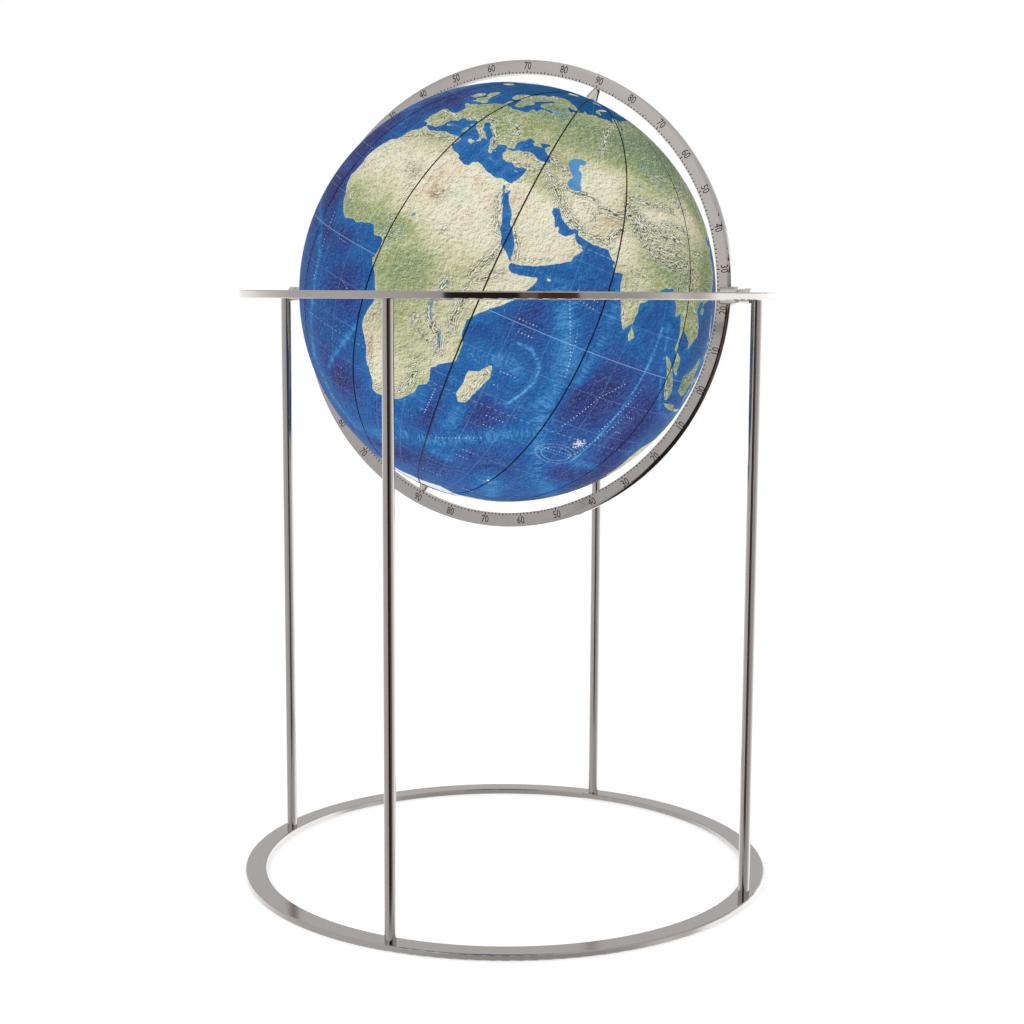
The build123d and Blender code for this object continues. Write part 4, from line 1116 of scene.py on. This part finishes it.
def scale_numbers():
    """Every tenth degree of latitude, from the equator to the poles; tops face out above the pivots."""
    sheets = bmesh.new()
    for degrees in range(0, 360, 10):
        angle = math.radians(POLE_ON_RING + degrees)
        out = Vector((math.cos(angle), 0, math.sin(angle)))
        along = Vector((math.sin(angle), 0, -math.cos(angle)))
        side = -1 if out.z < 0 else 1
        curve = bpy.data.curves.new("number", "FONT")
        curve.body = "%02d" % abs(90 - degrees % 180)
        curve.align_x = "CENTER"
        curve.align_y = "CENTER"
        curve.extrude = (MARK_DEEP + MARK_PROUD) / 2
        curve.size = NUMBER_HEIGHT / CAPITAL_SHARE
        curve.resolution_u = 3
        flat = plain_mesh(placed("number", curve), "number")
        mesh = flat.data
        mesh.transform(Matrix.Diagonal((NUMBER_NARROW, 1, 1, 1)))
        turn = Matrix((along * side, out * side, Vector((0, -1, 0)))).transposed().to_4x4()
        middle = out * NUMBER_RADIUS + Vector((0, RING_FACE - (MARK_PROUD - MARK_DEEP) / 2, 0))
        mesh.transform(TO_RING @ Matrix.Translation(middle) @ turn)
        sheets.from_mesh(mesh)
        bpy.data.objects.remove(flat)
    mesh = bpy.data.meshes.new("scale_numbers")
    bmesh.ops.remove_doubles(sheets, verts=sheets.verts, dist=0.001 * MM)
    sheets.to_mesh(mesh)
    sheets.free()
    mesh.materials.append(ink)
    return placed("scale_numbers", mesh)


numbers = scale_numbers()
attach(numbers, "meridian")

# ---------------------------------------------------------------- the studio
scene.view_settings.view_transform = "Standard"
scene.view_settings.look = "None"

VIEW_TURN = math.radians(23.8)
# How bright the studio is round the object, as shares of a turn. Half a turn is towards the camera,
# and more is to its right.
STUDIO_ROUND = (
    (0.0, 1.15),
    (0.12, 1.25),
    (0.22, 0.68),
    (0.345, 0.66),
    (0.40, 0.58),
    (0.46, 0.52),
    (0.60, 0.48),
    (0.655, 0.56),
    (0.70, 0.95),
    (0.735, 0.72),
    (0.75, 0.95),
    (0.77, 1.6),
    (0.90, 1.6),
    (1.0, 1.15),
)
# The same above the horizon, where the meridian's face looks.
STUDIO_ABOVE = ((0.0, 0.66), (0.30, 0.66), (0.35, 0.70), (0.39, 0.90), (0.46, 0.66), (1.0, 0.66))
SOFT_LEVEL = 0.71
SOFT_FALL = 0.25


def make_world():
    """White to the camera, a soft even light on the object, and a brighter and darker room in its steel."""
    scene.world = bpy.data.worlds.new("studio")
    studio = Finish("studio", scene.world)
    way = {"Vector": studio.node("ShaderNodeTexCoord", out="Generated"), "Angle": -VIEW_TURN}
    right, away, up = studio.split(studio.node("ShaderNodeVectorRotate", way, rotation_type="Z_AXIS"))
    share = studio.turn_of(0.0 - away, right) / (2 * math.pi) + 0.5
    level, above = (
        studio.ramp(share, [(place, grey(bright)) for place, bright in stops])
        for stops in (STUDIO_ROUND, STUDIO_ABOVE)
    )
    level = studio.blend(up.rise(0.06, 0.2), level, above)
    mirrored, seen = (
        studio.node("ShaderNodeLightPath", out=ray) for ray in ("Is Glossy Ray", "Is Camera Ray")
    )
    colour = studio.blend(mirrored, SOFT_LEVEL - away * SOFT_FALL, level)
    colour = studio.blend(seen, colour, grey(1.0))
    background = studio.node("ShaderNodeBackground", {"Color": colour, "Strength": 1.0})
    studio.end(background, "ShaderNodeOutputWorld")


make_world()


def flat_sheet(name, points, finish, unseen):
    """A four-cornered sheet of the studio, left out of the kinds of ray given."""
    mesh = bpy.data.meshes.new(name)
    mesh.from_pydata(points, [], [(0, 1, 2, 3)])
    mesh.materials.append(finish)
    sheet = placed(name, mesh)
    for rays in unseen:
        setattr(sheet, "visible_" + rays, False)


FLOOR_HALF = 6.0
paper = Finish("white_paper")
lit = paper.node("ShaderNodeBsdfDiffuse", {"Color": grey(0.92)})
both = paper.node("ShaderNodeAddShader", {0: lit, 1: paper.glow(grey(1.0), 0.45)})
floor_points = [(x * FLOOR_HALF, y * FLOOR_HALF, 0) for x, y in ((-1, -1), (1, -1), (1, 1), (-1, 1))]
flat_sheet("floor", floor_points, paper.end(both), ("glossy",))

# Cards that only show in the steel, side by side and square to the camera: name, left, right, colour.
CARD_LOW = -0.12
CARD_HIGH = 0.69
CARD_AWAY = -0.609
TO_CAMERA = Matrix.Rotation(VIEW_TURN, 3, "Z")
for name, left, right, colour in (
    ("dark_card", -0.225, 0.040, srgb(42, 37, 34)),
    ("grey_card", 0.040, 0.100, srgb(126, 110, 102)),
    ("brown_card", 0.100, 0.257, srgb(84, 58, 44)),
):
    places = ((left, CARD_LOW), (right, CARD_LOW), (right, CARD_HIGH), (left, CARD_HIGH))
    points = [TO_CAMERA @ Vector((x, CARD_AWAY, z)) for x, z in places]
    finish = Finish(name)
    glowing = finish.end(finish.glow(colour))
    flat_sheet(name, points, glowing, ("camera", "diffuse", "shadow", "transmission"))

KEY_PLACE = Vector((-1.6, -1.9, 2.4))
key_light = bpy.data.lights.new("key", "AREA")
key_light.size = 1.6
key_light.energy = 6.0
key = placed("key", key_light)
key.location = TO_CAMERA @ KEY_PLACE
key.rotation_euler = (Vector(CENTRE) - key.location).to_track_quat("-Z", "Y").to_euler()
key.visible_glossy = False

CAMERA_REACH = 1.6674
CAMERA_HEIGHT = 0.5701
CAMERA_ASIDE = math.radians(0.183)
CAMERA_DIP = math.radians(7.288)
CAMERA_ROLL = math.radians(0.273)
camera_data = bpy.data.cameras.new("camera")
camera_data.lens = 60.137
camera_data.sensor_width = 36.0
camera = placed("camera", camera_data)
camera.location = (CAMERA_REACH * math.sin(VIEW_TURN), -CAMERA_REACH * math.cos(VIEW_TURN), CAMERA_HEIGHT)
camera.rotation_mode = "QUATERNION"
camera.rotation_quaternion = (
    Matrix.Rotation(VIEW_TURN - CAMERA_ASIDE, 3, "Z")
    @ Matrix.Rotation(math.pi / 2 - CAMERA_DIP, 3, "X")
    @ Matrix.Rotation(CAMERA_ROLL, 3, "Z")
).to_quaternion()
scene.camera = camera
